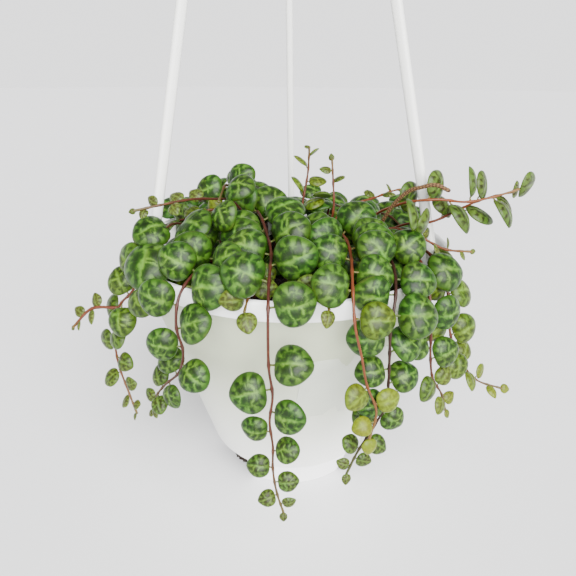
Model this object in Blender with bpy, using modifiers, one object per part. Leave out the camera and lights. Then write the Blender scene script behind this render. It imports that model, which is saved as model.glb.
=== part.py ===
"""Potted string of turtles: a small white hanging pot with its moulded hanger, the soil and the trailing plant.

Sizes are in millimetres here and become metres in Blender. The origin is on the floor under the middle of the
pot, +Z is up and the front, where the longest stems hang, is at -Y.
"""
import math

import bmesh
import bpy
import numpy as np
from mathutils import Matrix, Vector
from mathutils.bvhtree import BVHTree

MM = 0.001
OBJECT_NAME = "potted_string_of_turtles"

# Pot
RIM_RADIUS = 54.0
RIM_TOP = 86.0
RIM_WIDTH = 1.9
RIM_ROUNDING = 0.7
BAND_HEIGHT = 6.2
WALL_TOP_RADIUS = 51.9
WALL_FOOT_RADIUS = 30.2
WALL_FOOT_Z = 10.6
WALL_THICKNESS = 1.8
FLOOR_TOP = 12.0
FLOOR_THICKNESS = 1.6
FOOT_RADIUS = 26.3
FOOT_RING_THICKNESS = 2.2
FOOT_STEP = 0.7
FOOT_NOTCH_AZIMUTHS = (-24.0, 96.0, 216.0)
FOOT_NOTCH_ANGLE = 48.0
FOOT_NOTCH_DEPTH = 12.0
DRAIN_HOLES = 6
DRAIN_RADIUS = 2.5
DRAIN_CIRCLE = 17.0
POT_SIDES = 28
ROUND_SIDES = 12
SHARP_ANGLE = 35.0

# Hanger: three arms at these azimuths, clipped in the wall, and a hook over them
ARM_AZIMUTHS = {"right": -30.0, "back": 90.0, "left": 210.0}
ARM_WIDTH = 2.6
ARM_DEPTH = 3.2
ARM_BEND_Z = 85.0
ARM_RIM_GAP = 0.65
CLIP_SIZE = (6.4, 2.0, 13.0)
CLIP_OVERLAP = 2.0
CLIP_WALL_GAP = 0.4
SLOT_SIZE = (6.6, 9.0, 3.2)
BARB_SIZE = (5.8, 4.6, 2.4)
SLOT_Z = 76.3
HUB_CENTRE = (-4.0, 20.0)
HUB_BOTTOM = 290.0
HUB_HEIGHT = 8.0
HUB_RADIUS = 9.0
ARM_TOP_RADIUS = 5.0
SOCKET_DEPTH = 5.0
HOOK_RADIUS = 9.0
HOOK_WIRE_RADIUS = 1.7
HOOK_SHANK = 9.0
HOOK_ROOT = 2.0
HOOK_SWEEP = 300.0
HOOK_STEPS = 14
HUB_SIDES = 20

# Soil
SOIL_EDGE_Z = 71.5
SOIL_RISE = 3.5
SOIL_BUMP = 0.7
SOIL_SIDES = 18
SOIL_RINGS = 3
SOIL_FOOT = 1.6
GAP = 0.3

# Plant
STEM_RADIUS = 0.7
STEM_TIP_RADIUS = 0.5
STEM_STEP = 8.4
HOLE_BOTTOM = 69.0
HOLE_RADIUS = 2.0
HOLE_TOP = 82.0
STEM_SIDES = 6
STEM_CLEARANCE = 0.45
HOLE_SIDES = 4
LEAF_CLEARANCE = 0.25
LEAF_DOME = 0.24
LEAF_TIP = 1.03
LEAF_SUNK = 0.35
LEAF_WIDE_END = 0.1
LEAF_FACE = 0.62
SMALL_LEAF = 6.0
LARGE_LEAF = 11.5
LEAN_LOSS = 30.0
LEAN_SPREAD = 12.0
ROLL_SPREAD = 20.0
NOD_SPREAD = 14.0
SIZE_SPREAD = 0.07
CROWDING = 0.6
LEAF_LIFT = 0.3
LEAF_FACING = 0.75
LIGHT = np.array([0.0, -0.72, 0.69])
OUTWARD_SHARE = 0.75
LIGHT_SHARE = 0.85
UPWARD_SHARE = 0.6


def stem(name, route, leaves, big, small, side, bare, lean=85, lost=(), node=None, roll=0):
    """One leafy stem: the points of its route, its leaves from the largest to the smallest in size, the side of
    the first leaf, the bare length from the route's start, how far the leaves lean from the stem in degrees, the
    places in the row whose leaf is lost, and a roll in degrees by which all its leaves show their side. A side
    shoot names the node that it grows from."""
    return {"name": name, "route": route, "leaves": leaves, "big": big, "small": small, "side": side,
            "bare": bare, "lean": lean, "lost": lost, "node": node or name, "roll": roll}


STEMS = [
    stem("crown_left", [
        (-30, -4, 70), (-30, -4, 79), (-32, -12, 91), (-34, -20, 96.5), (-36.5, -27.5, 98), (-39.5, -32.2, 95.3)],
        6, 11.5, 16, 1, 21, 80, (1, 2), roll=-30),
    stem("stem_front", [
        (-14, 6, 70), (-14, 6, 79), (-14, 3, 93), (-11, -8, 97), (-8, -22, 95), (-6, -36, 93), (-6, -50, 92),
        (-6, -59, 88), (-6, -61, 82), (-6, -61, 72), (-5, -61, 62), (-6, -61, 52), (-5, -61, 46), (-5, -61, 37),
        (-4, -61, 30), (-2, -61, 22)], 21, 14, 3, 1, 20, 95, (10,)),
    stem("stem_left_front", [
        (-22, 2, 70), (-22, 2, 79), (-23, -6, 92), (-22, -20, 91), (-22, -34, 89), (-27, -47, 90), (-30, -53, 84),
        (-30, -54, 78), (-29, -53, 69), (-32, -51, 62), (-38, -47, 55), (-41, -44, 48), (-42, -43, 44)],
        19, 13.2, 2.6, 1, 28, 95),
    stem("stem_left", [
        (-24, -12, 70), (-24, -12, 79), (-31, -22, 87), (-40, -33, 89), (-46, -34, 81), (-53, -29, 73),
        (-57, -26, 62), (-57, -26, 50), (-56, -27, 46), (-53, -30, 40), (-51, -32, 35)],
        14, 10.5, 2.4, -1, 36),
    stem("shoot_left_tip", [
        (-54, -28.4, 72), (-61, -28, 72), (-65, -29, 69), (-68, -30, 66)], 5, 5, 2, 1, 6, 70,
        node="stem_left"),
    stem("stem_right_lime", [
        (10, -4, 70), (10, -4, 79), (14, -14, 92), (16, -28, 94), (16, -40, 93), (15, -52, 92), (15, -59, 86),
        (16, -60, 79), (18, -60, 72), (20, -60, 63), (23, -60, 55), (21, -61, 49)],
        15, 12.4, 5, -1, 20, 80, (9, 10)),
    stem("stem_right_front", [
        (18, -12, 70), (18, -12, 79), (24, -24, 91), (27, -36, 92), (27, -46, 91), (26, -54, 86), (25, -56, 79),
        (26, -55, 66), (26, -54, 60), (26, -54, 54), (23, -55, 48), (20, -56, 43), (18, -57, 39), (16, -57, 33)],
        20, 12, 3.2, 1, 26, 95),
    stem("stem_right", [
        (26, -12, 70), (26, -12, 79), (33, -26, 90), (36, -38, 91), (37, -46, 84), (38, -47, 76), (39, -47, 66),
        (40, -46, 60), (43, -44, 55), (46, -42, 49), (48, -40, 43)], 13, 12, 3, 1, 24, 90),
    stem("stem_right_far", [
        (31, -5, 70), (31, -5, 79), (38, -18, 89), (41, -30, 90), (44, -37, 84), (45, -39, 76), (47, -38, 68),
        (52, -33, 58), (57, -30, 51), (61, -29, 47), (65, -29, 44), (69, -30, 44.5)],
        12, 10.5, 3.5, 1, 32, 80),
    stem("runner_left", [
        (-12, -6, 70), (-12, -6, 79), (-16, -9, 98), (-20, -12, 102), (-29, -23, 105), (-34, -28, 105),
        (-39, -31, 105), (-44, -33, 104)], 7, 5.4, 2, 1, 46, 60, (1,)),
    stem("runner_right", [
        (17, -4, 70), (17, -4, 79), (24, -11, 93), (26, -14, 98), (30, -22, 103), (34, -28, 106), (38, -30, 107),
        (44, -30, 107), (51, -28, 106), (61, -26, 108), (65, -25, 109)], 7, 10, 8.5, -1, 44, 90, roll=30),
    stem("runner_right_low", [
        (23, -1, 70), (23, -1, 79), (32, -17, 95), (40, -28, 100), (45, -28, 102), (50, -25, 104),
        (58, -20, 105), (65, -16, 106), (68, -15, 106)], 6, 10, 6.5, 1, 46, 80, roll=25),
    stem("runner_rim", [
        (22, -9, 70), (22, -9, 79), (28, -22, 95), (33, -26, 97), (40, -28, 94), (45, -29, 92), (50, -29, 91),
        (53, -28, 91)], 6, 4.5, 2, 1, 40, 80, roll=30),
    stem("crown_back_left", [
        (-20, 16, 70), (-20, 16, 79), (-20, 13, 95), (-21, 4, 102), (-21, -6, 105.5), (-21, -15, 107),
        (-22, -22, 104)], 8, 9.5, 10.5, -1, 28, 80),
    stem("stem_left_high", [
        (-26, 3, 70), (-26, 3, 79), (-28, -5, 94), (-33, -12, 96), (-41, -18, 95), (-46, -20, 92)],
        6, 8, 5, 1, 24, 70),
    stem("shoot_lime_left", [
        (-18, -9, 70), (-18, -9, 79), (-20, -12, 96), (-26, -16, 100), (-33, -18, 97)], 6, 7, 5, 1, 22, 50),
    stem("shoot_mid", [
        (2, 10, 70), (2, 10, 79), (4, 12, 96), (5, 13, 102), (6, 14, 109), (6, 14, 115)], 8, 9.5, 2.5, 1, 14, 80,
        roll=15),
    stem("shoot_right", [
        (13, 8, 70), (13, 8, 79), (15, 9, 95), (15, 10, 101), (14, 12, 106), (14, 12, 111)], 7, 8, 2.5, 1, 14, 80,
        roll=25),
    stem("shoot_thin", [
        (12, 3, 70), (12, 3, 79), (16, 5, 92), (21, 6, 96), (31, 12, 98), (38, 18, 99), (43, 22, 99)],
        6, 5, 2, 1, 34, 70, roll=35),
    stem("crown_mid", [
        (2, -6, 70), (2, -6, 79), (3, -14, 92), (4, -22, 93), (5, -30, 91)], 5, 9, 8, 1, 14, 70),
    stem("rim_shoot_left", [
        (-12, -24, 70), (-12, -24, 79), (-12, -38, 86), (-11, -50, 88), (-12, -57.5, 85)], 6, 7.5, 6, 1, 26, 80),
    stem("rim_shoot_right", [
        (4, -26, 70), (4, -26, 79), (6, -42, 87), (8, -52, 89), (9, -58, 86)], 5, 7, 5, 1, 28, 80),
    stem("crown_back", [
        (-4, 26, 70), (-4, 26, 79), (-4, 24, 92), (-6, 16, 96), (-8, 10, 97)], 4, 13, 10, 1, 14, 70),
    stem("crown_back_right", [
        (14, 25, 70), (14, 25, 79), (14, 22, 91), (16, 17, 94), (18, 12, 94)], 4, 13, 10, 1, 14, 70),
    stem("crown_right", [
        (28, 8, 70), (28, 8, 79), (30, 4, 93), (33, -4, 95), (36, -11, 93)], 5, 10, 9, 1, 16, 70),
    stem("crown_centre", [
        (-6, -1, 70), (-6, -1, 79), (-5, -4, 87), (-1, -3, 91), (5, 1, 91)], 3, 13, 10, 1, 12, 75),
    stem("crown_rear_left", [
        (-33, 10, 70), (-33, 10, 79), (-36, 14, 87), (-40, 19, 90), (-42, 26, 89)], 5, 14, 11, 1, 11, 75),
    stem("crown_rear_right", [
        (36, 9, 70), (36, 9, 79), (38, 12, 87), (41, 18, 90), (43, 25, 89)], 5, 14, 11, -1, 11, 75),
    stem("crown_rear_mid", [
        (3, 30, 70), (3, 30, 79), (1, 34, 87), (-5, 38, 90), (-12, 37, 88)], 4, 14, 11, -1, 11, 75),
    stem("stem_rear_left", [
        (-24, 22, 70), (-24, 22, 79), (-33, 31, 90), (-40, 38, 89), (-43, 41, 82), (-43, 42, 70), (-42, 42, 56)],
        10, 13, 4, 1, 14, 90),
    stem("stem_rear_mid_left", [
        (-10, 32, 70), (-10, 32, 79), (-12, 44, 90), (-14, 54, 89), (-15, 59, 82), (-15, 60, 70), (-13, 60, 58),
        (-12, 60, 46)], 11, 13, 3, -1, 13, 90),
    stem("stem_rear_mid_right", [
        (9, 33, 70), (9, 33, 79), (12, 45, 90), (15, 54, 89), (17, 58, 82), (17, 59, 72), (16, 59, 62)],
        10, 11.5, 4, 1, 13, 90),
    stem("stem_rear_right", [
        (26, 21, 70), (26, 21, 79), (34, 30, 90), (40, 37, 89), (43, 40, 82), (44, 41, 68), (43, 42, 54)],
        10, 13, 3, -1, 14, 90),
]
SPIKE_ROUTE = [
    (20, -8, 70), (20, -8, 79), (22, -18, 90), (25, -24, 96), (28, -30, 105), (31, -34, 110), (34, -37, 112),
    (37, -39, 113), (40, -41, 112)]
SPIKE_RADIUS = 0.55
SPIKE_BEAD_RADIUS = 0.8
SPIKE_BEAD_STEP = 2.4
SPIKE_BARE = 28.0


def clear_scene():
    for thing in list(bpy.data.objects):
        bpy.data.objects.remove(thing, do_unlink=True)


def collection(name):
    made = bpy.data.collections.new(name)
    bpy.context.scene.collection.children.link(made)
    return made


clear_scene()
PARTS = collection(OBJECT_NAME)
CUTTERS = collection("cutters")


def srgb(hex_code):
    """A Principled base colour from a hex code."""
    parts = [int(hex_code[i:i + 2], 16) / 255 for i in (0, 2, 4)]
    return [p / 12.92 if p <= 0.04045 else ((p + 0.055) / 1.055) ** 2.4 for p in parts] + [1.0]


def material(name, hex_code, roughness):
    made = bpy.data.materials.new(name)
    made.use_nodes = True
    shader = made.node_tree.nodes["Principled BSDF"]
    shader.inputs["Base Color"].default_value = srgb(hex_code)
    shader.inputs["Roughness"].default_value = roughness
    shader.inputs["Metallic"].default_value = 0.0
    return made


WHITE_PLASTIC = material("white_plastic", "ECECE8", 0.38)
SOIL_DARK = material("dark_soil", "2A211B", 0.95)
LEAF_GREEN = material("turtle_leaf", "4C7A3B", 0.32)
SPIKE_BROWN = material("spike_brown", "7A4B32", 0.6)


def add(thing, group=PARTS):
    """Moves an object into a collection; a cutter is drawn as a wire and kept out of the render."""
    for owner in list(thing.users_collection):
        owner.objects.unlink(thing)
    group.objects.link(thing)
    if group is CUTTERS:
        thing.hide_render = True
        thing.display_type = "WIRE"
    return thing


def mesh_object(name, mesh, look, group=PARTS):
    thing = bpy.data.objects.new(name, mesh)
    add(thing, group)
    mesh.materials.clear()
    mesh.materials.append(look)
    return thing


def settled(thing):
    """A plain mesh object with all of an object's modifiers, or a curve's bevel, worked in."""
    graph = bpy.context.evaluated_depsgraph_get()
    mesh = bpy.data.meshes.new_from_object(thing.evaluated_get(graph))
    work = bmesh.new()
    work.from_mesh(mesh)
    bmesh.ops.remove_doubles(work, verts=work.verts, dist=1e-7)
    work.to_mesh(mesh)
    work.free()
    made = bpy.data.objects.new(thing.name, mesh)
    made.matrix_world = thing.matrix_world.copy()
    add(made, thing.users_collection[0])
    name = thing.name
    bpy.data.objects.remove(thing, do_unlink=True)
    made.name = name
    return made


def turned(name, profile, sides, look, group=PARTS):
    """A solid of revolution from an open profile in millimetres that starts and ends on the axis."""
    mesh = bpy.data.meshes.new(name)
    work = bmesh.new()
    ring = [work.verts.new((r * MM, 0, z * MM)) for r, z in profile]
    for a, b in zip(ring, ring[1:]):
        work.edges.new((a, b))
    work.to_mesh(mesh)
    work.free()
    thing = mesh_object(name, mesh, look, group)
    screw = thing.modifiers.new("turn", "SCREW")
    screw.steps = screw.render_steps = sides
    screw.use_merge_vertices = True
    screw.merge_threshold = 1e-5
    return thing


def box(name, size, frame, group=CUTTERS):
    """A box of the given size in millimetres, placed by a matrix whose shift is in millimetres."""
    work = bmesh.new()
    bmesh.ops.create_cube(work, size=1.0)
    bmesh.ops.scale(work, vec=Vector(size) * MM, verts=work.verts)
    return placed(name, work, frame, group)


def rod(name, radius, start, end, sides, across=None, depth=None, group=CUTTERS):
    """A straight rod between two points in millimetres. Where across is given, the radius lies along it, and
    depth is the rod's radius square to it."""
    a, b = Vector(start), Vector(end)
    up = (b - a).normalized()
    across = Vector(across) if across else up.orthogonal()
    across = (across - across.dot(up) * up).normalized()
    turn = Matrix((across, up.cross(across), up)).transposed().to_4x4()
    work = bmesh.new()
    bmesh.ops.create_cone(work, cap_ends=True, segments=sides, radius1=1, radius2=1, depth=(b - a).length * MM)
    bmesh.ops.scale(work, vec=(radius * MM, (depth or radius) * MM, 1), verts=work.verts)
    return placed(name, work, Matrix.Translation((a + b) / 2) @ turn, group)


def placed(name, work, frame, group):
    mesh = bpy.data.meshes.new(name)
    work.to_mesh(mesh)
    work.free()
    thing = bpy.data.objects.new(name, mesh)
    add(thing, group)
    frame = frame.copy()
    frame.translation *= MM
    thing.matrix_world = frame
    return thing


def boolean(thing, operands, operation):
    """Cuts away or joins a group of objects, worked in at once, and removes them."""
    group = bpy.data.collections.new("operands")
    for other in operands:
        add(other, group)
    bpy.context.view_layer.update()
    cut = thing.modifiers.new(operation.lower(), "BOOLEAN")
    cut.operation = operation
    cut.operand_type = "COLLECTION"
    cut.collection = group
    cut.solver = "EXACT"
    made = settled(thing)
    for other in list(group.objects):
        bpy.data.objects.remove(other, do_unlink=True)
    bpy.data.collections.remove(group)
    return made


def polar(radius, azimuth, z):
    turn = math.radians(azimuth)
    return Vector((radius * math.cos(turn), radius * math.sin(turn), z))


def wall_radius(z, inner=False):
    """The pot wall's outer or inner radius at a height."""
    share = (z - WALL_FOOT_Z) / (RIM_TOP - BAND_HEIGHT - WALL_FOOT_Z)
    outer = WALL_FOOT_RADIUS + share * (WALL_TOP_RADIUS - WALL_FOOT_RADIUS)
    return outer - WALL_THICKNESS if inner else outer


WALL_SLOPE = math.atan2(WALL_TOP_RADIUS - WALL_FOOT_RADIUS, RIM_TOP - BAND_HEIGHT - WALL_FOOT_Z)


def pot_profile():
    """From the middle of the floor, up the inside, over the rim, down the outside, under the foot ring."""
    band = RIM_TOP - BAND_HEIGHT
    floor_under = FLOOR_TOP - FLOOR_THICKNESS
    return [
        (0, FLOOR_TOP), (wall_radius(FLOOR_TOP, True), FLOOR_TOP), (wall_radius(band, True), band),
        (RIM_RADIUS - RIM_WIDTH, RIM_TOP - RIM_ROUNDING), (RIM_RADIUS - RIM_WIDTH / 2, RIM_TOP),
        (RIM_RADIUS, RIM_TOP - RIM_ROUNDING), (RIM_RADIUS - 0.4, band), (WALL_TOP_RADIUS, band - 0.2),
        (WALL_FOOT_RADIUS, WALL_FOOT_Z), (WALL_FOOT_RADIUS - FOOT_STEP, WALL_FOOT_Z - 0.3),
        (FOOT_RADIUS, 0), (FOOT_RADIUS - FOOT_RING_THICKNESS, 0),
        (WALL_FOOT_RADIUS - FOOT_STEP - FOOT_RING_THICKNESS, floor_under), (0, floor_under)]


def make_pot():
    """The pot with a slot in its wall for each arm's barb, notches in its foot ring, and drain holes."""
    pot = turned("pot", pot_profile(), POT_SIDES, WHITE_PLASTIC)
    cutters = []
    floor_under = FLOOR_TOP - FLOOR_THICKNESS
    notch_top = floor_under - 1.0
    notch_width = 2 * FOOT_RADIUS * math.sin(math.radians(FOOT_NOTCH_ANGLE / 2))
    for name, azimuth in ARM_AZIMUTHS.items():
        turn = Matrix.Rotation(math.radians(azimuth - 90), 4, "Z")
        slot = polar(wall_radius(SLOT_Z) - WALL_THICKNESS / 2, azimuth, SLOT_Z)
        cutters.append(box(f"slot_{name}", SLOT_SIZE, Matrix.Translation(slot) @ turn))
    notch_size = (notch_width, FOOT_NOTCH_DEPTH, 2 * notch_top)
    for azimuth in FOOT_NOTCH_AZIMUTHS:
        turn = Matrix.Rotation(math.radians(azimuth - 90), 4, "Z")
        place = Matrix.Translation(polar(FOOT_RADIUS, azimuth, 0)) @ turn
        cutters.append(box(f"notch_{azimuth:.0f}", notch_size, place))
    for k in range(DRAIN_HOLES):
        middle = polar(DRAIN_CIRCLE, 360 * k / DRAIN_HOLES, floor_under + FLOOR_THICKNESS / 2)
        reach = Vector((0, 0, FLOOR_THICKNESS))
        cutters.append(rod(f"drain_{k}", DRAIN_RADIUS, middle - reach, middle + reach, ROUND_SIDES))
    pot = boolean(pot, cutters, "DIFFERENCE")
    pot.data.shade_smooth()
    pot.data.set_sharp_from_angle(angle=math.radians(SHARP_ANGLE))
    return pot


def arm_ends(azimuth):
    """The bend at the foot and the upper end of an arm, in millimetres."""
    bend_radius = RIM_RADIUS - RIM_WIDTH - ARM_RIM_GAP - ARM_DEPTH / 2
    foot = polar(bend_radius, azimuth, ARM_BEND_Z)
    top = Vector((*HUB_CENTRE, 0)) + polar(ARM_TOP_RADIUS, azimuth, HUB_BOTTOM + SOCKET_DEPTH - GAP)
    return foot, top


def make_arm(name, azimuth):
    """An oval rod with a clip that lies against the wall's inside and a barb through the wall's slot."""
    foot, top = arm_ends(azimuth)
    tangent = polar(1, azimuth + 90, 0)
    arm = rod(f"hanger_arm_{name}", ARM_WIDTH / 2, foot, top, ROUND_SIDES, tangent, ARM_DEPTH / 2,
              PARTS)
    turn = Matrix.Rotation(math.radians(azimuth - 90), 4, "Z")
    lean = Matrix.Rotation(-WALL_SLOPE, 4, "X")
    clip_z = ARM_BEND_Z + CLIP_OVERLAP - CLIP_SIZE[2] / 2 * math.cos(WALL_SLOPE)
    clip_radius = wall_radius(clip_z, True) - (CLIP_SIZE[1] / 2 + CLIP_WALL_GAP) / math.cos(WALL_SLOPE)
    clip = box("clip", CLIP_SIZE, Matrix.Translation(polar(clip_radius, azimuth, clip_z)) @ turn @ lean)
    barb_middle = polar(wall_radius(SLOT_Z, True) + WALL_THICKNESS / 2, azimuth, SLOT_Z)
    barb = box("barb", BARB_SIZE, Matrix.Translation(barb_middle) @ turn)
    arm = boolean(arm, [clip, barb], "UNION")
    arm.data.materials.clear()
    arm.data.materials.append(WHITE_PLASTIC)
    return arm


def make_hook():
    """A round hub with a socket for each arm and an open round hook over it."""
    x, y = HUB_CENTRE
    hub_top = HUB_BOTTOM + HUB_HEIGHT
    hub = rod("hanger_hook", HUB_RADIUS, (x, y, HUB_BOTTOM), (x, y, hub_top), HUB_SIDES, group=PARTS)
    points = [(x, y, hub_top - HOOK_ROOT), (x, y, hub_top + HOOK_SHANK / 2), (x, y, hub_top + HOOK_SHANK)]
    centre_z = hub_top + HOOK_SHANK + HOOK_RADIUS
    for k in range(1, HOOK_STEPS + 1):
        turn = math.radians(-90 + HOOK_SWEEP * k / HOOK_STEPS)
        points.append((x + HOOK_RADIUS * math.cos(turn), y, centre_z + HOOK_RADIUS * math.sin(turn)))
    wire = settled(tube("hook_wire", points, [HOOK_WIRE_RADIUS] * len(points), 2, WHITE_PLASTIC))
    hub = boolean(hub, [wire], "UNION")
    sockets = []
    for name, azimuth in ARM_AZIMUTHS.items():
        foot, top = arm_ends(azimuth)
        up = (top - foot).normalized()
        tangent = polar(1, azimuth + 90, 0)
        sockets.append(rod(f"socket_{name}", ARM_WIDTH / 2 + GAP, top - up * 2 * SOCKET_DEPTH, top + up * GAP,
                           ROUND_SIDES, tangent, ARM_DEPTH / 2 + GAP))
    hub = boolean(hub, sockets, "DIFFERENCE")
    hub.data.materials.clear()
    hub.data.materials.append(WHITE_PLASTIC)
    return hub


def tube(name, points, radii, resolution, look, group=PARTS):
    """A curve with a round bevel through points in millimetres."""
    curve = bpy.data.curves.new(name, "CURVE")
    curve.dimensions = "3D"
    curve.bevel_depth = MM
    curve.bevel_resolution = resolution
    curve.use_fill_caps = True
    spline = curve.splines.new("POLY")
    spline.points.add(len(points) - 1)
    for point, place, radius in zip(spline.points, points, radii):
        point.co = (*(Vector(place) * MM), 1)
        point.radius = radius
    curve.materials.append(look)
    thing = bpy.data.objects.new(name, curve)
    return add(thing, group)


def soil_height(radius, azimuth):
    """The soil's surface: a low mound with a few soft bumps."""
    share = radius / wall_radius(SOIL_EDGE_Z, True)
    bumps = math.sin(5 * azimuth + radius / 5) + math.sin(3 * azimuth - radius / 3.1)
    return SOIL_EDGE_Z + SOIL_RISE * (1 - share ** 2) + SOIL_BUMP * bumps * 0.5 * (1 - share ** 4)


def make_soil(hole_places):
    bottom = FLOOR_TOP + GAP
    top_radius = wall_radius(SOIL_EDGE_Z, True) - GAP
    rings = [top_radius * k / SOIL_RINGS for k in range(SOIL_RINGS + 1)]
    profile = [(r, SOIL_EDGE_Z + SOIL_RISE) for r in rings]
    profile += [(wall_radius(bottom + SOIL_FOOT, True) - GAP, bottom + SOIL_FOOT),
                (wall_radius(bottom, True) - SOIL_FOOT, bottom), (0, bottom)]
    soil = settled(turned("soil", profile, SOIL_SIDES, SOIL_DARK))
    for vert in soil.data.vertices:
        if vert.co.z > (SOIL_EDGE_Z - 1) * MM:
            radius = math.hypot(vert.co.x, vert.co.y) / MM
            vert.co.z = soil_height(radius, math.atan2(vert.co.y, vert.co.x)) * MM
    cutters = [rod(f"hole_{k}", HOLE_RADIUS, (x, y, HOLE_BOTTOM), (x, y, HOLE_TOP), HOLE_SIDES)
               for k, (x, y) in enumerate(hole_places)]
    return boolean(soil, cutters, "DIFFERENCE")


def unit(v):
    v = np.asarray(v, float)
    return v / np.linalg.norm(v)


def turned_about(v, axis, angle):
    c, s = math.cos(angle), math.sin(angle)
    return v * c + np.cross(axis, v) * s + axis * np.dot(axis, v) * (1 - c)


def smooth_route(points, step=STEM_STEP):
    """A Catmull-Rom curve through the chosen points, read off at even steps."""
    p = np.array(points, float)
    p = np.vstack([2 * p[0] - p[1], p, 2 * p[-1] - p[-2]])
    fine = []
    for i in range(1, len(p) - 2):
        a, b, c, d = p[i - 1:i + 3]
        for t in np.arange(0, 1, 0.05):
            fine.append(0.5 * (2 * b + (c - a) * t + (2 * a - 5 * b + 4 * c - d) * t ** 2
                               + (3 * b - a - 3 * c + d) * t ** 3))
    fine.append(p[-2])
    fine = np.array(fine)
    run = path_run(fine)
    count = max(3, int(round(run[-1] / step)) + 1)
    return at_runs(fine, run, np.linspace(0, run[-1], count))


def path_run(path):
    return np.concatenate([[0], np.cumsum(np.linalg.norm(np.diff(path, axis=0), axis=1))])


def at_runs(path, run, places):
    return np.stack([np.interp(places, run, path[:, k]) for k in range(3)], -1)


def facing(place):
    """Leaves look outward over the rim and toward the light at the front, and those further back look up."""
    out = np.array([place[0], place[1], 0.0]) / RIM_RADIUS
    up = np.array([0, 0, UPWARD_SHARE * np.clip((place[1] + 8) / 30, 0, 1)])
    return unit(OUTWARD_SHARE * out + LIGHT_SHARE * LIGHT + up)


def leaf_rows(row, seed):
    """Each leaf of a stem as its root, axis, normal and length: by turns on the two sides, crowded near the pot,
    smaller toward the tip, leaning from the stem and lifted a little, each with a small seeded turn of its own
    that is larger further back."""
    rng = np.random.default_rng(seed)
    route = smooth_route(row["route"])
    run = path_run(route)
    order = np.arange(row["leaves"])
    sizes = row["small"] + (row["big"] - row["small"]) * (1 - (order / (len(order) - 1)) ** 2)
    gaps = (sizes[1:] + sizes[:-1]) / 2 * np.linspace(CROWDING, 1, len(sizes) - 1)
    share = np.concatenate([[0], np.cumsum(gaps)]) / gaps.sum()
    stations = row["bare"] + (run[-1] - 0.6 - row["bare"]) * share
    rows = []
    for k, (at, size) in enumerate(zip(stations, sizes)):
        root, behind, ahead = at_runs(route, run, np.clip([at, at - 2, at + 2], 0, run[-1]))
        along = unit(ahead - behind)
        look = facing(root)
        side = row["side"] * (-1) ** k
        across = unit(np.cross(along, look + np.array([0, 0, 0.8]))) * side
        lean = math.radians(row["lean"] - LEAN_LOSS * k / len(sizes) + rng.uniform(-LEAN_SPREAD, LEAN_SPREAD))
        axis = math.cos(lean) * along + math.sin(lean) * across + np.array([0, 0, LEAF_LIFT])
        if k == len(sizes) - 1:
            axis = along + 0.2 * across
        axis = unit(axis - LEAF_FACING * np.dot(axis, look) * look)
        normal = unit(look - np.dot(look, axis) * axis)
        loose = 1 + np.clip((root[1] + 20) / 30, 0, 1)
        roll = math.radians(loose * rng.uniform(-ROLL_SPREAD, ROLL_SPREAD) - side * row["roll"])
        nod = math.radians(loose * rng.uniform(-NOD_SPREAD, NOD_SPREAD))
        length = size * rng.uniform(1 - SIZE_SPREAD, 1 + SIZE_SPREAD)
        axis, normal = tipped(axis, normal, roll, nod, 0.0)
        if k not in row["lost"]:
            rows.append((root, axis, normal, length))
    return route, rows


def tipped(axis, normal, roll, nod, swing):
    """A leaf's axis and normal, rolled about the axis, nodded about its width and swung in its own plane."""
    normal = turned_about(normal, axis, roll)
    across = np.cross(normal, axis)
    axis, normal = turned_about(axis, across, nod), turned_about(normal, across, nod)
    return turned_about(axis, normal, swing), normal


def leaf_solid(length):
    """One leaf in its own frame, root at the origin and tip along +X: a pad with a domed face and a full belly,
    nearly round, widest nearer its root. A small leaf has fewer faces."""
    work = bmesh.new()
    large = length >= SMALL_LEAF
    sides = 7 if length > LARGE_LEAF else 6
    bmesh.ops.create_cone(work, cap_ends=True, segments=sides, radius1=1, radius2=LEAF_FACE, depth=1,
                          matrix=Matrix.Rotation(math.pi / 2, 4, "Z"))
    if large:
        bmesh.ops.poke(work, faces=[f for f in work.faces if len(f.verts) == sides and f.normal.z > 0])
    for vert in work.verts:
        spread = math.hypot(vert.co.x, vert.co.y)
        height = 0 if vert.co.z < 0 else LEAF_DOME * (0.78 if spread > 0.1 else 1.0)
        widest = 1 - LEAF_WIDE_END * vert.co.x
        reach = (LEAF_TIP * length + LEAF_SUNK) * (1 + vert.co.x) / 2 - LEAF_SUNK
        vert.co = (reach, 0.5 * length * vert.co.y * widest, length * height)
    bmesh.ops.triangulate(work, faces=work.faces)
    mesh = bpy.data.meshes.new("leaf")
    work.to_mesh(mesh)
    work.free()
    return mesh


def leaf_points(mesh, root, axis, normal):
    across = np.cross(normal, axis)
    local = np.array([v.co for v in mesh.vertices])
    return root + local @ np.array([axis, across, normal])


def swollen(points, by):
    """The same points moved outward from their middle, to test for clearance."""
    middle = points.mean(axis=0)
    out = points - middle
    return points + by * out / np.linalg.norm(out, axis=1, keepdims=True)


def tree(points, faces):
    return BVHTree.FromPolygons([tuple(p) for p in points], faces)


def tube_faces(route, radius, sides=STEM_SIDES):
    """The points and faces of a plain tube, for clearance only."""
    points, faces = [], []
    for i, place in enumerate(route):
        along = Vector(route[min(i + 1, len(route) - 1)] - route[max(i - 1, 0)]).normalized()
        across = along.orthogonal().normalized()
        other = along.cross(across)
        for k in range(sides):
            turn = 2 * math.pi * k / sides
            points.append(Vector(place) + radius * (math.cos(turn) * across + math.sin(turn) * other))
    for i in range(len(route) - 1):
        for k in range(sides):
            a, b = i * sides + k, i * sides + (k + 1) % sides
            faces.append((a, b, b + sides, a + sides))
    return points, faces


def lathe_faces(profile, sides=36):
    """The points and faces of a turned surface, for clearance only."""
    points = [polar(r, 360 * k / sides, z) for r, z in profile for k in range(sides)]
    faces = []
    for i in range(len(profile) - 1):
        for k in range(sides):
            a, b = i * sides + k, i * sides + (k + 1) % sides
            faces.append((a, b, b + sides, a + sides))
    return points, faces


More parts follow.
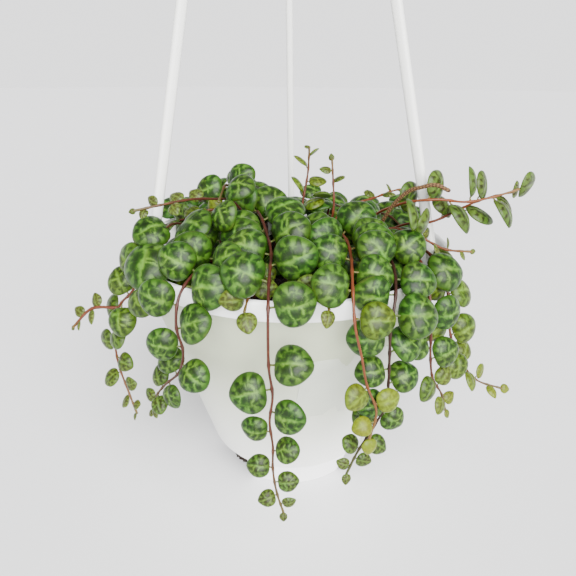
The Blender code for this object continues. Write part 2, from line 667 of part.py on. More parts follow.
def fixed_obstacles():
    """What the leaves keep clear of besides each other: the pot's rim and wall, the soil and the arms."""
    soil_radius = wall_radius(SOIL_EDGE_Z, True)
    soil_line = [(r, SOIL_EDGE_Z + SOIL_RISE * (1 - (r / soil_radius) ** 2) + 1.2) for r in range(0, 49, 8)]
    rim_line = [(r, z + (GAP if z > SLOT_Z else 0)) for r, z in pot_profile()[1:9]]
    trees = [tree(*lathe_faces(soil_line)), tree(*lathe_faces(rim_line))]
    for azimuth in ARM_AZIMUTHS.values():
        foot, top = arm_ends(azimuth)
        line = [np.array(foot + (top - foot) * share) for share in (0, 0.2, 0.4)]
        trees.append(tree(*tube_faces(np.array(line), ARM_WIDTH / 2 + 0.2, 8)))
        low = np.array([polar(wall_radius(72, True) - 1.5, azimuth, 72), foot])
        trees.append(tree(*tube_faces(low, 3.6, 8)))
    return trees


# The tries of each leaf, from its own place to ever further from it: nod, swing and shrink
TRIES = sorted(
    ((nod, swing, shrink) for nod in (0, 12, -12, 24, -24, 38, 55) for swing in (0, 15, -15, 32, -32, 55)
     for shrink in (1.0, 0.9, 0.8, 0.68)),
    key=lambda t: abs(t[0]) / 12 + abs(t[1]) / 15 + (1 - t[2]) * 22)


def place_leaves():
    """Every stem's route and leaves. Stems are fixed first. Then each leaf takes the first of its tries that
    stands clear of all that is placed, or else of all but its own stem's leaves, and is left out if none does."""
    fixed = fixed_obstacles()
    fixed.append(tree(*tube_faces(smooth_route(SPIKE_ROUTE, SPIKE_BEAD_STEP), SPIKE_BEAD_RADIUS + GAP)))
    made = [(row, *leaf_rows(row, 100 + k)) for k, row in enumerate(STEMS)]
    stems = {row["name"]: tree(*tube_faces(route, STEM_RADIUS + STEM_CLEARANCE)) for row, route, _ in made}
    taken = []
    placed_rows = []
    for row, route, rows in made:
        others = fixed + [t for name, t in stems.items() if name != row["name"]]
        kept = []
        for root, axis, normal, length in rows:
            found = first_clear(row["node"], root, axis, normal, length, others, taken)
            if found:
                axis, normal, length, mesh, leaf_tree = found
                taken.append((row["node"], root, length, leaf_tree))
                kept.append((root, axis, normal, length, mesh))
        placed_rows.append((row, route, kept))
    return placed_rows


def first_clear(node, root, axis, normal, length, others, taken):
    near = [(n, t) for n, place, size, t in taken if np.linalg.norm(place - root) < size + length + 2]
    fallback = None
    for nod, swing, shrink in TRIES:
        try_axis, try_normal = tipped(axis, normal, 0, math.radians(nod), math.radians(swing))
        mesh = leaf_solid(length * shrink)
        points = leaf_points(mesh, root, try_axis, try_normal)
        faces = [tuple(p.vertices) for p in mesh.polygons]
        probe = tree(swollen(points, LEAF_CLEARANCE), faces)
        if any(probe.overlap(t) for t in others):
            continue
        if any(probe.overlap(t) for n, t in near if n != node):
            continue
        found = (try_axis, try_normal, length * shrink, mesh, tree(points, faces))
        if not any(probe.overlap(t) for n, t in near if n == node):
            return found
        fallback = fallback or found
    return fallback


def make_plant():
    """One node for each leafy stem, with its side shoots: the stem and its leaves in one body."""
    nodes = {}
    for row, route, leaves in place_leaves():
        radii = np.linspace(STEM_RADIUS, STEM_TIP_RADIUS, len(route))
        pieces = nodes.setdefault(row["node"], [])
        pieces.append(settled(tube(row["name"], route, radii, 0, LEAF_GREEN)))
        for root, axis, normal, length, mesh in leaves:
            across = np.cross(normal, axis)
            frame = Matrix([[*pair] for pair in np.column_stack([axis, across, normal])]).to_4x4()
            frame.translation = Vector(root) * MM
            leaf = mesh_object(f"leaf_{row['name']}", mesh, LEAF_GREEN)
            mesh.transform(Matrix.Scale(MM, 4))
            leaf.matrix_world = frame
            pieces.append(leaf)
    for name, pieces in nodes.items():
        joined = boolean(pieces[0], pieces[1:], "UNION")
        joined.name = name
        joined.data.materials.clear()
        joined.data.materials.append(LEAF_GREEN)


def make_spike():
    """The flower spike: a thin stalk, then a tail of small round beads."""
    route = smooth_route(SPIKE_ROUTE, SPIKE_BEAD_STEP / 2)
    run = path_run(route)
    plain = [k for k in range(0, len(route), 5) if run[k] < SPIKE_BARE]
    beads = [k for k in range(len(route)) if run[k] >= SPIKE_BARE]
    radii = [SPIKE_RADIUS] * len(plain) + [SPIKE_BEAD_RADIUS if k % 2 else SPIKE_RADIUS for k in beads]
    return settled(tube("flower_spike", route[plain + beads], radii, 0, SPIKE_BROWN))


def main():
    make_pot()
    for name, azimuth in ARM_AZIMUTHS.items():
        make_arm(name, azimuth)
    make_hook()
    holes = [row["route"][0][:2] for row in STEMS if row["node"] == row["name"]] + [SPIKE_ROUTE[0][:2]]
    make_soil(holes)
    make_plant()
    make_spike()


main()
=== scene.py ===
"""Potted string of turtles, dressed: the smooth pot and hanger, the crumbly soil, and the stems with their
leaves.

Lengths are in millimetres until a mesh is made. The plant grows by the same rule, routes and seeds as the
solids, so each fine leaf lies where its solid is.
"""
import math
from collections import namedtuple
from functools import partial

import bmesh
import bpy
import numpy as np
from mathutils import Matrix, Vector
from mathutils.bvhtree import BVHTree


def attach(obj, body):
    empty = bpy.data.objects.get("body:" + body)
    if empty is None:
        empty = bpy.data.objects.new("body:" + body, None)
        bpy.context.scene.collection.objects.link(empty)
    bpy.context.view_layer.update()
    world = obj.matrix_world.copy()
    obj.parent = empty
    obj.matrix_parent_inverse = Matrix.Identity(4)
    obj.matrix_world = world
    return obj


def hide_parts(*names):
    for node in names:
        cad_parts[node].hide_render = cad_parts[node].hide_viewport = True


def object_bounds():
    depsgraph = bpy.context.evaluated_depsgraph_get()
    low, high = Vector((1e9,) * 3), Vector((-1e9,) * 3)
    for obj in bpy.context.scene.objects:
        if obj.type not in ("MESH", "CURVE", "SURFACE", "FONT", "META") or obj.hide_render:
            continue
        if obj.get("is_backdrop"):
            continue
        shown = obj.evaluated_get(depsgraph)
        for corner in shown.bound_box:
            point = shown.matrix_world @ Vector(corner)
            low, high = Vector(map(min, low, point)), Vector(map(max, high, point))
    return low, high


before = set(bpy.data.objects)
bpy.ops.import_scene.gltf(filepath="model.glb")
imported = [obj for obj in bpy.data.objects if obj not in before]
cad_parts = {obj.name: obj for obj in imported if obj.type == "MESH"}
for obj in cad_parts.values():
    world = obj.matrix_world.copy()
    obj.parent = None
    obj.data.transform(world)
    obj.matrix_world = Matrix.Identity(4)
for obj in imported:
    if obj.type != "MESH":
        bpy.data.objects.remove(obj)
CAD_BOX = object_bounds()
MM = 0.001

# Pot
RIM_RADIUS = 54.0
RIM_TOP = 86.0
RIM_WIDTH = 1.9
RIM_ROUNDING = 0.7
BAND_HEIGHT = 6.2
BAND_TAPER = 0.4
BAND_LEDGE = 0.2
WALL_TOP_RADIUS = 51.9
WALL_FOOT_RADIUS = 30.2
WALL_FOOT_Z = 10.6
WALL_THICKNESS = 1.8
FLOOR_TOP = 12.0
FLOOR_THICKNESS = 1.6
FOOT_RADIUS = 26.3
FOOT_RING_THICKNESS = 2.2
FOOT_STEP = 0.7
FOOT_LEDGE = 0.3
FOOT_NOTCH_AZIMUTHS = (-24.0, 96.0, 216.0)
FOOT_NOTCH_ANGLE = 48.0
FOOT_NOTCH_DEPTH = 12.0
DRAIN_HOLES = 6
DRAIN_RADIUS = 2.5
DRAIN_CIRCLE = 17.0
CUT_MARGIN = 1.0
CORNER_ROUNDING = 0.7
POT_SIDES = 160
DRAIN_SIDES = 32

# Hanger: three arms at these azimuths, clipped in the wall, and a hook over them
ARM_AZIMUTHS = {"right": -30.0, "back": 90.0, "left": 210.0}
ARM_WIDTH = 2.6
ARM_DEPTH = 3.2
ARM_BEND_Z = 85.0
ARM_RIM_GAP = 0.65
ARM_SQUARENESS = 2.5
ARM_SIDES = 40
CLIP_SIZE = (6.4, 2.0, 13.0)
CLIP_OVERLAP = 2.0
CLIP_WALL_GAP = 0.4
CLIP_SQUARENESS = 7.0
SLOT_SIZE = (6.6, 9.0, 3.2)
BARB_SIZE = (5.8, 4.6, 2.4)
BARB_POWER = 0.25
BARB_SIDES = 32
SLOT_Z = 76.3
HUB_CENTRE = (-4.0, 20.0)
HUB_BOTTOM = 290.0
HUB_HEIGHT = 8.0
HUB_RADIUS = 9.0
HUB_ROUNDING = 1.2
HUB_SIDES = 96
BOSS_RADII = (3.4, 2.4)
BOSS_HEIGHT = 1.6
ARM_TOP_RADIUS = 5.0
SOCKET_DEPTH = 5.0
HOOK_RADIUS = 9.0
HOOK_WIRE_RADIUS = 1.7
HOOK_SHANK = 9.0
HOOK_SWEEP = 300.0
HOOK_STEPS = 60
HOOK_SIDES = 24

# Soil, its loose crumbs, and those of them that are caught in the foot's left notch
SOIL_EDGE_Z = 71.5
SOIL_RISE = 3.5
SOIL_BUMP = 0.7
SOIL_SIDES = 180
SOIL_RINGS = 60
SOIL_SEED = 11
CLOD_SIZES = (14, 8, 5, 3)
CLOD_SHARE = 0.03
GAP = 0.3
CRUMBS = 900
CAUGHT_CRUMBS = 110
CAUGHT_AZIMUTHS = (226.0, 239.5)
CAUGHT_RADII = (27.6, 28.9)
CAUGHT_HEIGHTS = (7.5, 9.2)
CAUGHT_SIZES = (0.4, 0.75)

# Plant: where the stems rise through the soil, and the rule by which leaves are placed
RISE_HEIGHTS = (70, 79)
STEM_SEED = 100
STEM_RADIUS = 0.7
STEM_STEP = 8.4
STEM_SIDES = 6
STEM_CLEARANCE = 0.45
LEAF_CLEARANCE = 0.25
SOIL_CLEARANCE = 1.2
ARM_CLEARANCE = 0.2
CLIP_CLEARANCE = 3.6
CLIP_LOW_Z = 72
LEAF_DOME = 0.24
LEAF_TIP = 1.03
LEAF_SUNK = 0.35
LEAF_WIDE_END = 0.1
LEAF_FACE = 0.62
SMALL_LEAF = 6.0
LARGE_LEAF = 11.5
LEAN_LOSS = 30.0
LEAN_SPREAD = 12.0
ROLL_SPREAD = 20.0
NOD_SPREAD = 14.0
SIZE_SPREAD = 0.07
CROWDING = 0.6
LEAF_LIFT = 0.3
LEAF_FACING = 0.75
LIGHT = np.array([0.0, -0.72, 0.69])
OUTWARD_SHARE = 0.75
LIGHT_SHARE = 0.85
UPWARD_SHARE = 0.6

# Plant: what the fine leaves, stems and stalks add
LOOK_SEED = 5
LEAF_GRID = (28, 8)
SMALL_LEAF_GRID = (20, 6)
UNDERSIDE = (0.965, 0.8, 0.45)
ROOT_NOTCH = 0.035
MIDRIB = 0.014
BELLY = 0.03
YOUNG_LENGTH = 9.0
ROD_STEP = 1.2
ROD_RADIUS = 0.52
ROD_TAPER = 0.24
ROD_SWELLING = 0.16
ROD_SIDES = 10
STALK_SIDES = 8
STALK_REACH = 0.17

# Label: azimuth and height of its middle, its size and thickness
LABEL_PLACE = (-66.0, 52.0)
LABEL_SIZE = (32.0, 25.0)
LABEL_THICKNESS = 0.12
LABEL_POWER = 0.28
LABEL_GRID = (96, 14)

# View and studio
FOCAL_PIXELS = 516.0
PHOTO_PIXELS = 576
SENSOR_WIDTH = 36.0
CAMERA_PITCH = 23.2
CAMERA_ROLL = 0.4
CAMERA_DISTANCE = 188.0
CAMERA_AIM = (-1.2, 0.0, 66.9)
FLOOR_RADIUS = 4000.0
ROOM = [(0.14, "F6F6F7"), (0.35, "808082")]
ROOM_STRENGTH = 2.2
LIGHT_FROM = (0.2, -0.8, 0.6)
LIGHT_POWER = 12.5
LIGHT_SPREAD = 60.0


# A leafy stem: where it rises through the soil, if it does, the points of its route, how many leaves it has,
# the size of the largest and of the smallest, the side of the first, the bare length before it, how far they
# lean from the stem in degrees, the places in the row whose leaf is lost, the node that a side shoot grows
# from, and a roll in degrees by which all leaves show their side. The look is the stem's colour from 0,
# brown, to 1, orange, how lime the first and the last leaf are, and how much younger it is than it seems.
Stem = namedtuple("Stem", "name root route leaves big small side bare lean lost node roll look",
                  defaults=(85, (), None, 0, (0.45, 0, 0, 0)))


def rising(place, route):
    """A route that first comes straight up through the soil."""
    return [(*place, z) for z in RISE_HEIGHTS] + route


STEMS = [
    Stem("crown_left", (-30, -4), [(-32, -12, 91), (-34, -20, 96.5), (-36.5, -27.5, 98),
        (-39.5, -32.2, 95.3)], 6, 11.5, 16, 1, 21, 80, (1, 2), roll=-30, look=(0.4, 0, 0, -0.2)),
    Stem("stem_front", (-14, 6), [(-14, 3, 93), (-11, -8, 97), (-8, -22, 95), (-6, -36, 93), (-6, -50, 92),
        (-6, -59, 88), (-6, -61, 82), (-6, -61, 72), (-5, -61, 62), (-6, -61, 52), (-5, -61, 46),
        (-5, -61, 37), (-4, -61, 30), (-2, -61, 22)], 21, 14, 3, 1, 20, 95, (10,), look=(0.5, 0, 0, -0.1)),
    Stem("stem_left_front", (-22, 2), [(-23, -6, 92), (-22, -20, 91), (-22, -34, 89), (-27, -47, 90),
        (-30, -53, 84), (-30, -54, 78), (-29, -53, 69), (-32, -51, 62), (-38, -47, 55), (-41, -44, 48),
        (-42, -43, 44)], 19, 13.2, 2.6, 1, 28, 95, look=(0.45, 0, 0, -0.1)),
    Stem("stem_left", (-24, -12), [(-31, -22, 87), (-40, -33, 89), (-46, -34, 81), (-53, -29, 73),
        (-57, -26, 62), (-57, -26, 50), (-56, -27, 46), (-53, -30, 40), (-51, -32, 35)],
        14, 10.5, 2.4, -1, 36, look=(0.7, 0.1, 0.1, 0.1)),
    Stem("shoot_left_tip", None, [(-54, -28.4, 72), (-61, -28, 72), (-65, -29, 69), (-68, -30, 66)],
        5, 5, 2, 1, 6, 70, node="stem_left", look=(0.7, 0.1, 0.1, 0.2)),
    Stem("stem_right_lime", (10, -4), [(14, -14, 92), (16, -28, 94), (16, -40, 93), (15, -52, 92),
        (15, -59, 86), (16, -60, 79), (18, -60, 72), (20, -60, 63), (23, -60, 55), (21, -61, 49)],
        15, 12.4, 5, -1, 20, 80, (9, 10), look=(0.8, 0, 0.9, 0)),
    Stem("stem_right_front", (18, -12), [(24, -24, 91), (27, -36, 92), (27, -46, 91), (26, -54, 86),
        (25, -56, 79), (26, -55, 66), (26, -54, 60), (26, -54, 54), (23, -55, 48), (20, -56, 43),
        (18, -57, 39), (16, -57, 33)], 20, 12, 3.2, 1, 26, 95, look=(0.1, 0, 0.05, -0.1)),
    Stem("stem_right", (26, -12), [(33, -26, 90), (36, -38, 91), (37, -46, 84), (38, -47, 76),
        (39, -47, 66), (40, -46, 60), (43, -44, 55), (46, -42, 49), (48, -40, 43)], 13, 12, 3, 1, 24, 90,
        look=(0.5, 0, 0.5, 0)),
    Stem("stem_right_far", (31, -5), [(38, -18, 89), (41, -30, 90), (44, -37, 84), (45, -39, 76),
        (47, -38, 68), (52, -33, 58), (57, -30, 51), (61, -29, 47), (65, -29, 44), (69, -30, 44.5)],
        12, 10.5, 3.5, 1, 32, 80, look=(0.6, 0.2, 0.7, 0)),
    Stem("runner_left", (-12, -6), [(-16, -9, 98), (-20, -12, 102), (-29, -23, 105), (-34, -28, 105),
        (-39, -31, 105), (-44, -33, 104)], 7, 5.4, 2, 1, 46, 60, (1,), look=(0.5, 0.1, 0, 0.3)),
    Stem("runner_right", (17, -4), [(24, -11, 93), (26, -14, 98), (30, -22, 103), (34, -28, 106),
        (38, -30, 107), (44, -30, 107), (51, -28, 106), (61, -26, 108), (65, -25, 109)],
        7, 10, 8.5, -1, 44, 90, roll=30, look=(0.9, 0, 0, 0.6)),
    Stem("runner_right_low", (23, -1), [(32, -17, 95), (40, -28, 100), (45, -28, 102), (50, -25, 104),
        (58, -20, 105), (65, -16, 106), (68, -15, 106)], 6, 10, 6.5, 1, 46, 80, roll=25,
        look=(0.75, 0, 0, 0.6)),
    Stem("runner_rim", (22, -9), [(28, -22, 95), (33, -26, 97), (40, -28, 94), (45, -29, 92),
        (50, -29, 91), (53, -28, 91)], 6, 4.5, 2, 1, 40, 80, roll=30, look=(0.8, 0.2, 0.3, 0.2)),
    Stem("crown_back_left", (-20, 16), [(-20, 13, 95), (-21, 4, 102), (-21, -6, 105.5), (-21, -15, 107),
        (-22, -22, 104)], 8, 9.5, 10.5, -1, 28, 80),
    Stem("stem_left_high", (-26, 3), [(-28, -5, 94), (-33, -12, 96), (-41, -18, 95), (-46, -20, 92)],
        6, 8, 5, 1, 24, 70),
    Stem("shoot_lime_left", (-18, -9), [(-20, -12, 96), (-26, -16, 100), (-33, -18, 97)],
        6, 7, 5, 1, 22, 50, look=(0.6, 0.6, 0.3, 0.1)),
    Stem("shoot_mid", (2, 10), [(4, 12, 96), (5, 13, 102), (6, 14, 109), (6, 14, 115)],
        8, 9.5, 2.5, 1, 14, 80, roll=15, look=(0.6, 0.3, 0.2, 0)),
    Stem("shoot_right", (13, 8), [(15, 9, 95), (15, 10, 101), (14, 12, 106), (14, 12, 111)],
        7, 8, 2.5, 1, 14, 80, roll=25, look=(0.7, 0.1, 0.1, 0.1)),
    Stem("shoot_thin", (12, 3), [(16, 5, 92), (21, 6, 96), (31, 12, 98), (38, 18, 99), (43, 22, 99)],
        6, 5, 2, 1, 34, 70, roll=35, look=(0.8, 0.1, 0.1, 0.2)),
    Stem("crown_mid", (2, -6), [(3, -14, 92), (4, -22, 93), (5, -30, 91)], 5, 9, 8, 1, 14, 70),
    Stem("rim_shoot_left", (-12, -24), [(-12, -38, 86), (-11, -50, 88), (-12, -57.5, 85)],
        6, 7.5, 6, 1, 26, 80, look=(0.6, 0.1, 0.2, 0.3)),
    Stem("rim_shoot_right", (4, -26), [(6, -42, 87), (8, -52, 89), (9, -58, 86)], 5, 7, 5, 1, 28, 80,
        look=(0.6, 0.1, 0.2, 0.3)),
    Stem("crown_back", (-4, 26), [(-4, 24, 92), (-6, 16, 96), (-8, 10, 97)], 4, 13, 10, 1, 14, 70),
    Stem("crown_back_right", (14, 25), [(14, 22, 91), (16, 17, 94), (18, 12, 94)], 4, 13, 10, 1, 14, 70),
    Stem("crown_right", (28, 8), [(30, 4, 93), (33, -4, 95), (36, -11, 93)], 5, 10, 9, 1, 16, 70),
    Stem("crown_centre", (-6, -1), [(-5, -4, 87), (-1, -3, 91), (5, 1, 91)], 3, 13, 10, 1, 12, 75),
    Stem("crown_rear_left", (-33, 10), [(-36, 14, 87), (-40, 19, 90), (-42, 26, 89)],
        5, 14, 11, 1, 11, 75),
    Stem("crown_rear_right", (36, 9), [(38, 12, 87), (41, 18, 90), (43, 25, 89)], 5, 14, 11, -1, 11, 75),
    Stem("crown_rear_mid", (3, 30), [(1, 34, 87), (-5, 38, 90), (-12, 37, 88)], 4, 14, 11, -1, 11, 75),
    Stem("stem_rear_left", (-24, 22), [(-33, 31, 90), (-40, 38, 89), (-43, 41, 82), (-43, 42, 70),
        (-42, 42, 56)], 10, 13, 4, 1, 14, 90),
    Stem("stem_rear_mid_left", (-10, 32), [(-12, 44, 90), (-14, 54, 89), (-15, 59, 82), (-15, 60, 70),
        (-13, 60, 58), (-12, 60, 46)], 11, 13, 3, -1, 13, 90),
    Stem("stem_rear_mid_right", (9, 33), [(12, 45, 90), (15, 54, 89), (17, 58, 82), (17, 59, 72),
        (16, 59, 62)], 10, 11.5, 4, 1, 13, 90),
    Stem("stem_rear_right", (26, 21), [(34, 30, 90), (40, 37, 89), (43, 40, 82), (44, 41, 68),
        (43, 42, 54)], 10, 13, 3, -1, 14, 90),
]
SPIKE_ROUTE = rising((20, -8), [(22, -18, 90), (25, -24, 96), (28, -30, 105), (31, -34, 110),
    (34, -37, 112), (37, -39, 113), (40, -41, 112)])
SPIKE_RADIUS = 0.55
SPIKE_BEAD_RADIUS = 0.8
SPIKE_BEAD_STEP = 2.4
SPIKE_BARE = 28.0
SPIKE_STEP = 0.3
SPIKE_SIDES = 24
BUD_LENGTH = 0.9


def polar(radius, azimuth, z):
    turn = math.radians(azimuth)
    return Vector((radius * math.cos(turn), radius * math.sin(turn), z))


def wall_radius(z, inner=False):
    """The pot wall's outer or inner radius at a height."""
    share = (z - WALL_FOOT_Z) / (RIM_TOP - BAND_HEIGHT - WALL_FOOT_Z)
    outer = WALL_FOOT_RADIUS + share * (WALL_TOP_RADIUS - WALL_FOOT_RADIUS)
    return outer - WALL_THICKNESS if inner else outer


WALL_SLOPE = math.atan2(WALL_TOP_RADIUS - WALL_FOOT_RADIUS, RIM_TOP - BAND_HEIGHT - WALL_FOOT_Z)


def pot_profile():
    """From the middle of the floor, up the inside, over the rim, down the outside, under the foot ring."""
    band = RIM_TOP - BAND_HEIGHT
    floor_under = FLOOR_TOP - FLOOR_THICKNESS
    return [
        (0, FLOOR_TOP), (wall_radius(FLOOR_TOP, True), FLOOR_TOP), (wall_radius(band, True), band),
        (RIM_RADIUS - RIM_WIDTH, RIM_TOP - RIM_ROUNDING), (RIM_RADIUS - RIM_WIDTH / 2, RIM_TOP),
        (RIM_RADIUS, RIM_TOP - RIM_ROUNDING), (RIM_RADIUS - BAND_TAPER, band),
        (WALL_TOP_RADIUS, band - BAND_LEDGE), (WALL_FOOT_RADIUS, WALL_FOOT_Z),
        (WALL_FOOT_RADIUS - FOOT_STEP, WALL_FOOT_Z - FOOT_LEDGE), (FOOT_RADIUS, 0),
        (FOOT_RADIUS - FOOT_RING_THICKNESS, 0),
        (WALL_FOOT_RADIUS - FOOT_STEP - FOOT_RING_THICKNESS, floor_under), (0, floor_under)]


def arm_ends(azimuth):
    """The bend at the foot and the upper end of an arm."""
    bend_radius = RIM_RADIUS - RIM_WIDTH - ARM_RIM_GAP - ARM_DEPTH / 2
    foot = polar(bend_radius, azimuth, ARM_BEND_Z)
    top = Vector((*HUB_CENTRE, 0)) + polar(ARM_TOP_RADIUS, azimuth, HUB_BOTTOM + SOCKET_DEPTH - GAP)
    return foot, top


def soil_height(radius, azimuth):
    """The soil's surface: a low mound with a few soft bumps."""
    share = radius / wall_radius(SOIL_EDGE_Z, True)
    bumps = math.sin(5 * azimuth + radius / 5) + math.sin(3 * azimuth - radius / 3.1)
    return SOIL_EDGE_Z + SOIL_RISE * (1 - share ** 2) + SOIL_BUMP * bumps * 0.5 * (1 - share ** 4)


def unit(arrows):
    """An arrow, or each row of several, brought to a length of one."""
    return np.asarray(arrows, float) / np.linalg.norm(arrows, axis=-1, keepdims=True)


def turned_about(arrow, axis, angle):
    cos, sin = math.cos(angle), math.sin(angle)
    return arrow * cos + np.cross(axis, arrow) * sin + axis * np.dot(axis, arrow) * (1 - cos)


def smooth_route(points, step=STEM_STEP):
    """A Catmull-Rom curve through the chosen points, read off at even steps."""
    p = np.array(points, float)
    p = np.vstack([2 * p[0] - p[1], p, 2 * p[-1] - p[-2]])
    fine = []
    for i in range(1, len(p) - 2):
        a, b, c, d = p[i - 1:i + 3]
        for t in np.arange(0, 1, 0.05):
            fine.append(0.5 * (2 * b + (c - a) * t + (2 * a - 5 * b + 4 * c - d) * t ** 2
                               + (3 * b - a - 3 * c + d) * t ** 3))
    fine = np.array([*fine, p[-2]])
    run = path_run(fine)
    count = max(3, int(round(run[-1] / step)) + 1)
    return at_runs(fine, run, np.linspace(0, run[-1], count))


def path_run(path):
    """How far along a path each of its points lies."""
    return np.concatenate([[0], np.cumsum(np.linalg.norm(np.diff(path, axis=0), axis=1))])


def at_runs(path, run, places):
    return np.stack([np.interp(places, run, path[:, k]) for k in range(3)], -1)


def facing(place):
    """Where a leaf looks: outward, toward the light at the front, and further back upward."""
    out = np.array([place[0], place[1], 0.0]) / RIM_RADIUS
    up = np.array([0, 0, UPWARD_SHARE * np.clip((place[1] + 8) / 30, 0, 1)])
    return unit(OUTWARD_SHARE * out + LIGHT_SHARE * LIGHT + up)


def leaf_rows(row, seed):
    """A stem's smooth route and its leaves, each as root, axis, normal and length. They stand by turns on
    the two sides, crowded near the pot and smaller toward the tip, each with a small seeded turn."""
    rng = np.random.default_rng(seed)
    route = smooth_route(rising(row.root, row.route) if row.root else row.route)
    run = path_run(route)
    order = np.arange(row.leaves)
    sizes = row.small + (row.big - row.small) * (1 - (order / (len(order) - 1)) ** 2)
    gaps = (sizes[1:] + sizes[:-1]) / 2 * np.linspace(CROWDING, 1, len(sizes) - 1)
    share = np.concatenate([[0], np.cumsum(gaps)]) / gaps.sum()
    stations = row.bare + (run[-1] - 0.6 - row.bare) * share
    rows = []
    for k, (at, size) in enumerate(zip(stations, sizes)):
        root, behind, ahead = at_runs(route, run, np.clip([at, at - 2, at + 2], 0, run[-1]))
        along = unit(ahead - behind)
        look = facing(root)
        side = row.side * (-1) ** k
        across = unit(np.cross(along, look + np.array([0, 0, 0.8]))) * side
        lean = math.radians(row.lean - LEAN_LOSS * k / len(sizes) + rng.uniform(-LEAN_SPREAD, LEAN_SPREAD))
        axis = math.cos(lean) * along + math.sin(lean) * across + np.array([0, 0, LEAF_LIFT])
        if k == len(sizes) - 1:
            axis = along + 0.2 * across
        axis = unit(axis - LEAF_FACING * np.dot(axis, look) * look)
        normal = unit(look - np.dot(look, axis) * axis)
        loose = 1 + np.clip((root[1] + 20) / 30, 0, 1)
        roll = math.radians(loose * rng.uniform(-ROLL_SPREAD, ROLL_SPREAD) - side * row.roll)
        nod = math.radians(loose * rng.uniform(-NOD_SPREAD, NOD_SPREAD))
        length = size * rng.uniform(1 - SIZE_SPREAD, 1 + SIZE_SPREAD)
        axis, normal = tipped(axis, normal, roll, nod, 0.0)
        if k not in row.lost:
            rows.append((root, axis, normal, length))
    return route, rows


def tipped(axis, normal, roll, nod, swing):
    """A leaf's axis and normal, rolled about the axis, nodded about its width and swung in its plane."""
    normal = turned_about(normal, axis, roll)
    across = np.cross(normal, axis)
    axis, normal = turned_about(axis, across, nod), turned_about(normal, across, nod)
    return turned_about(axis, normal, swing), normal


def leaf_solid(length):
    """The points and faces of one leaf as the solids have it: a domed pad, with its root at the origin and
    its tip along +X, widest nearer the root. A small leaf has fewer faces."""
    work = bmesh.new()
    sides = 7 if length > LARGE_LEAF else 6
    bmesh.ops.create_cone(work, cap_ends=True, segments=sides, radius1=1, radius2=LEAF_FACE, depth=1,
                          matrix=Matrix.Rotation(math.pi / 2, 4, "Z"))
    if length >= SMALL_LEAF:
        bmesh.ops.poke(work, faces=[f for f in work.faces if len(f.verts) == sides and f.normal.z > 0])
    for vert in work.verts:
        spread = math.hypot(vert.co.x, vert.co.y)
        height = 0 if vert.co.z < 0 else LEAF_DOME * (0.78 if spread > 0.1 else 1.0)
        widest = 1 - LEAF_WIDE_END * vert.co.x
        reach = (LEAF_TIP * length + LEAF_SUNK) * (1 + vert.co.x) / 2 - LEAF_SUNK
        vert.co = (reach, 0.5 * length * vert.co.y * widest, length * height)
    bmesh.ops.triangulate(work, faces=work.faces)
    work.verts.index_update()
    points = np.array([vert.co for vert in work.verts])
    faces = [tuple(vert.index for vert in face.verts) for face in work.faces]
    work.free()
    return points, faces


def swollen(points, by):
    """The same points moved outward from their middle, to test for clearance."""
    return points + by * unit(points - points.mean(axis=0))


def tree(points, faces):
    return BVHTree.FromPolygons([tuple(p) for p in points], faces)


def ring_faces(levels, sides):
    """The faces between rings of points, each of which closes on itself."""
    corners = [[(i * sides + k, i * sides + (k + 1) % sides) for k in range(sides)] for i in range(levels)]
    return [(a, b, d, c) for low, high in zip(corners, corners[1:]) for (a, b), (c, d) in zip(low, high)]


def tube_tree(route, radius, sides=STEM_SIDES):
    """A plain tube along a route, for clearance only."""
    points = []
    for i, place in enumerate(route):
        along = Vector(route[min(i + 1, len(route) - 1)] - route[max(i - 1, 0)]).normalized()
        across = along.orthogonal().normalized()
        other = along.cross(across)
        for k in range(sides):
            turn = 2 * math.pi * k / sides
            points.append(Vector(place) + radius * (math.cos(turn) * across + math.sin(turn) * other))
    return tree(points, ring_faces(len(route), sides))


def lathe_tree(profile, sides=36):
    """A turned surface, for clearance only."""
    points = [polar(r, 360 * k / sides, z) for r, z in profile for k in range(sides)]
    return tree(points, ring_faces(len(profile), sides))


def fixed_obstacles():
    """What all leaves keep clear of: the pot's rim and wall, the soil and the arms."""
    soil_radius = wall_radius(SOIL_EDGE_Z, True)
    soil_line = [(r, SOIL_EDGE_Z + SOIL_RISE * (1 - (r / soil_radius) ** 2) + SOIL_CLEARANCE)
                 for r in range(0, 49, 8)]
    rim_line = [(r, z + (GAP if z > SLOT_Z else 0)) for r, z in pot_profile()[1:9]]
    trees = [lathe_tree(soil_line), lathe_tree(rim_line)]
    for azimuth in ARM_AZIMUTHS.values():
        foot, top = arm_ends(azimuth)
        line = np.array([foot + (top - foot) * share for share in (0, 0.2, 0.4)])
        trees.append(tube_tree(line, ARM_WIDTH / 2 + ARM_CLEARANCE, 8))
        low = polar(wall_radius(CLIP_LOW_Z, True) - 1.5, azimuth, CLIP_LOW_Z)
        trees.append(tube_tree(np.array([low, foot]), CLIP_CLEARANCE, 8))
    return trees


# The tries of each leaf, from its own place to ever further from it: nod, swing and shrink
TRIES = sorted(
    ((nod, swing, shrink) for nod in (0, 12, -12, 24, -24, 38, 55) for swing in (0, 15, -15, 32, -32, 55)
     for shrink in (1.0, 0.9, 0.8, 0.68)),
    key=lambda t: abs(t[0]) / 12 + abs(t[1]) / 15 + (1 - t[2]) * 22)


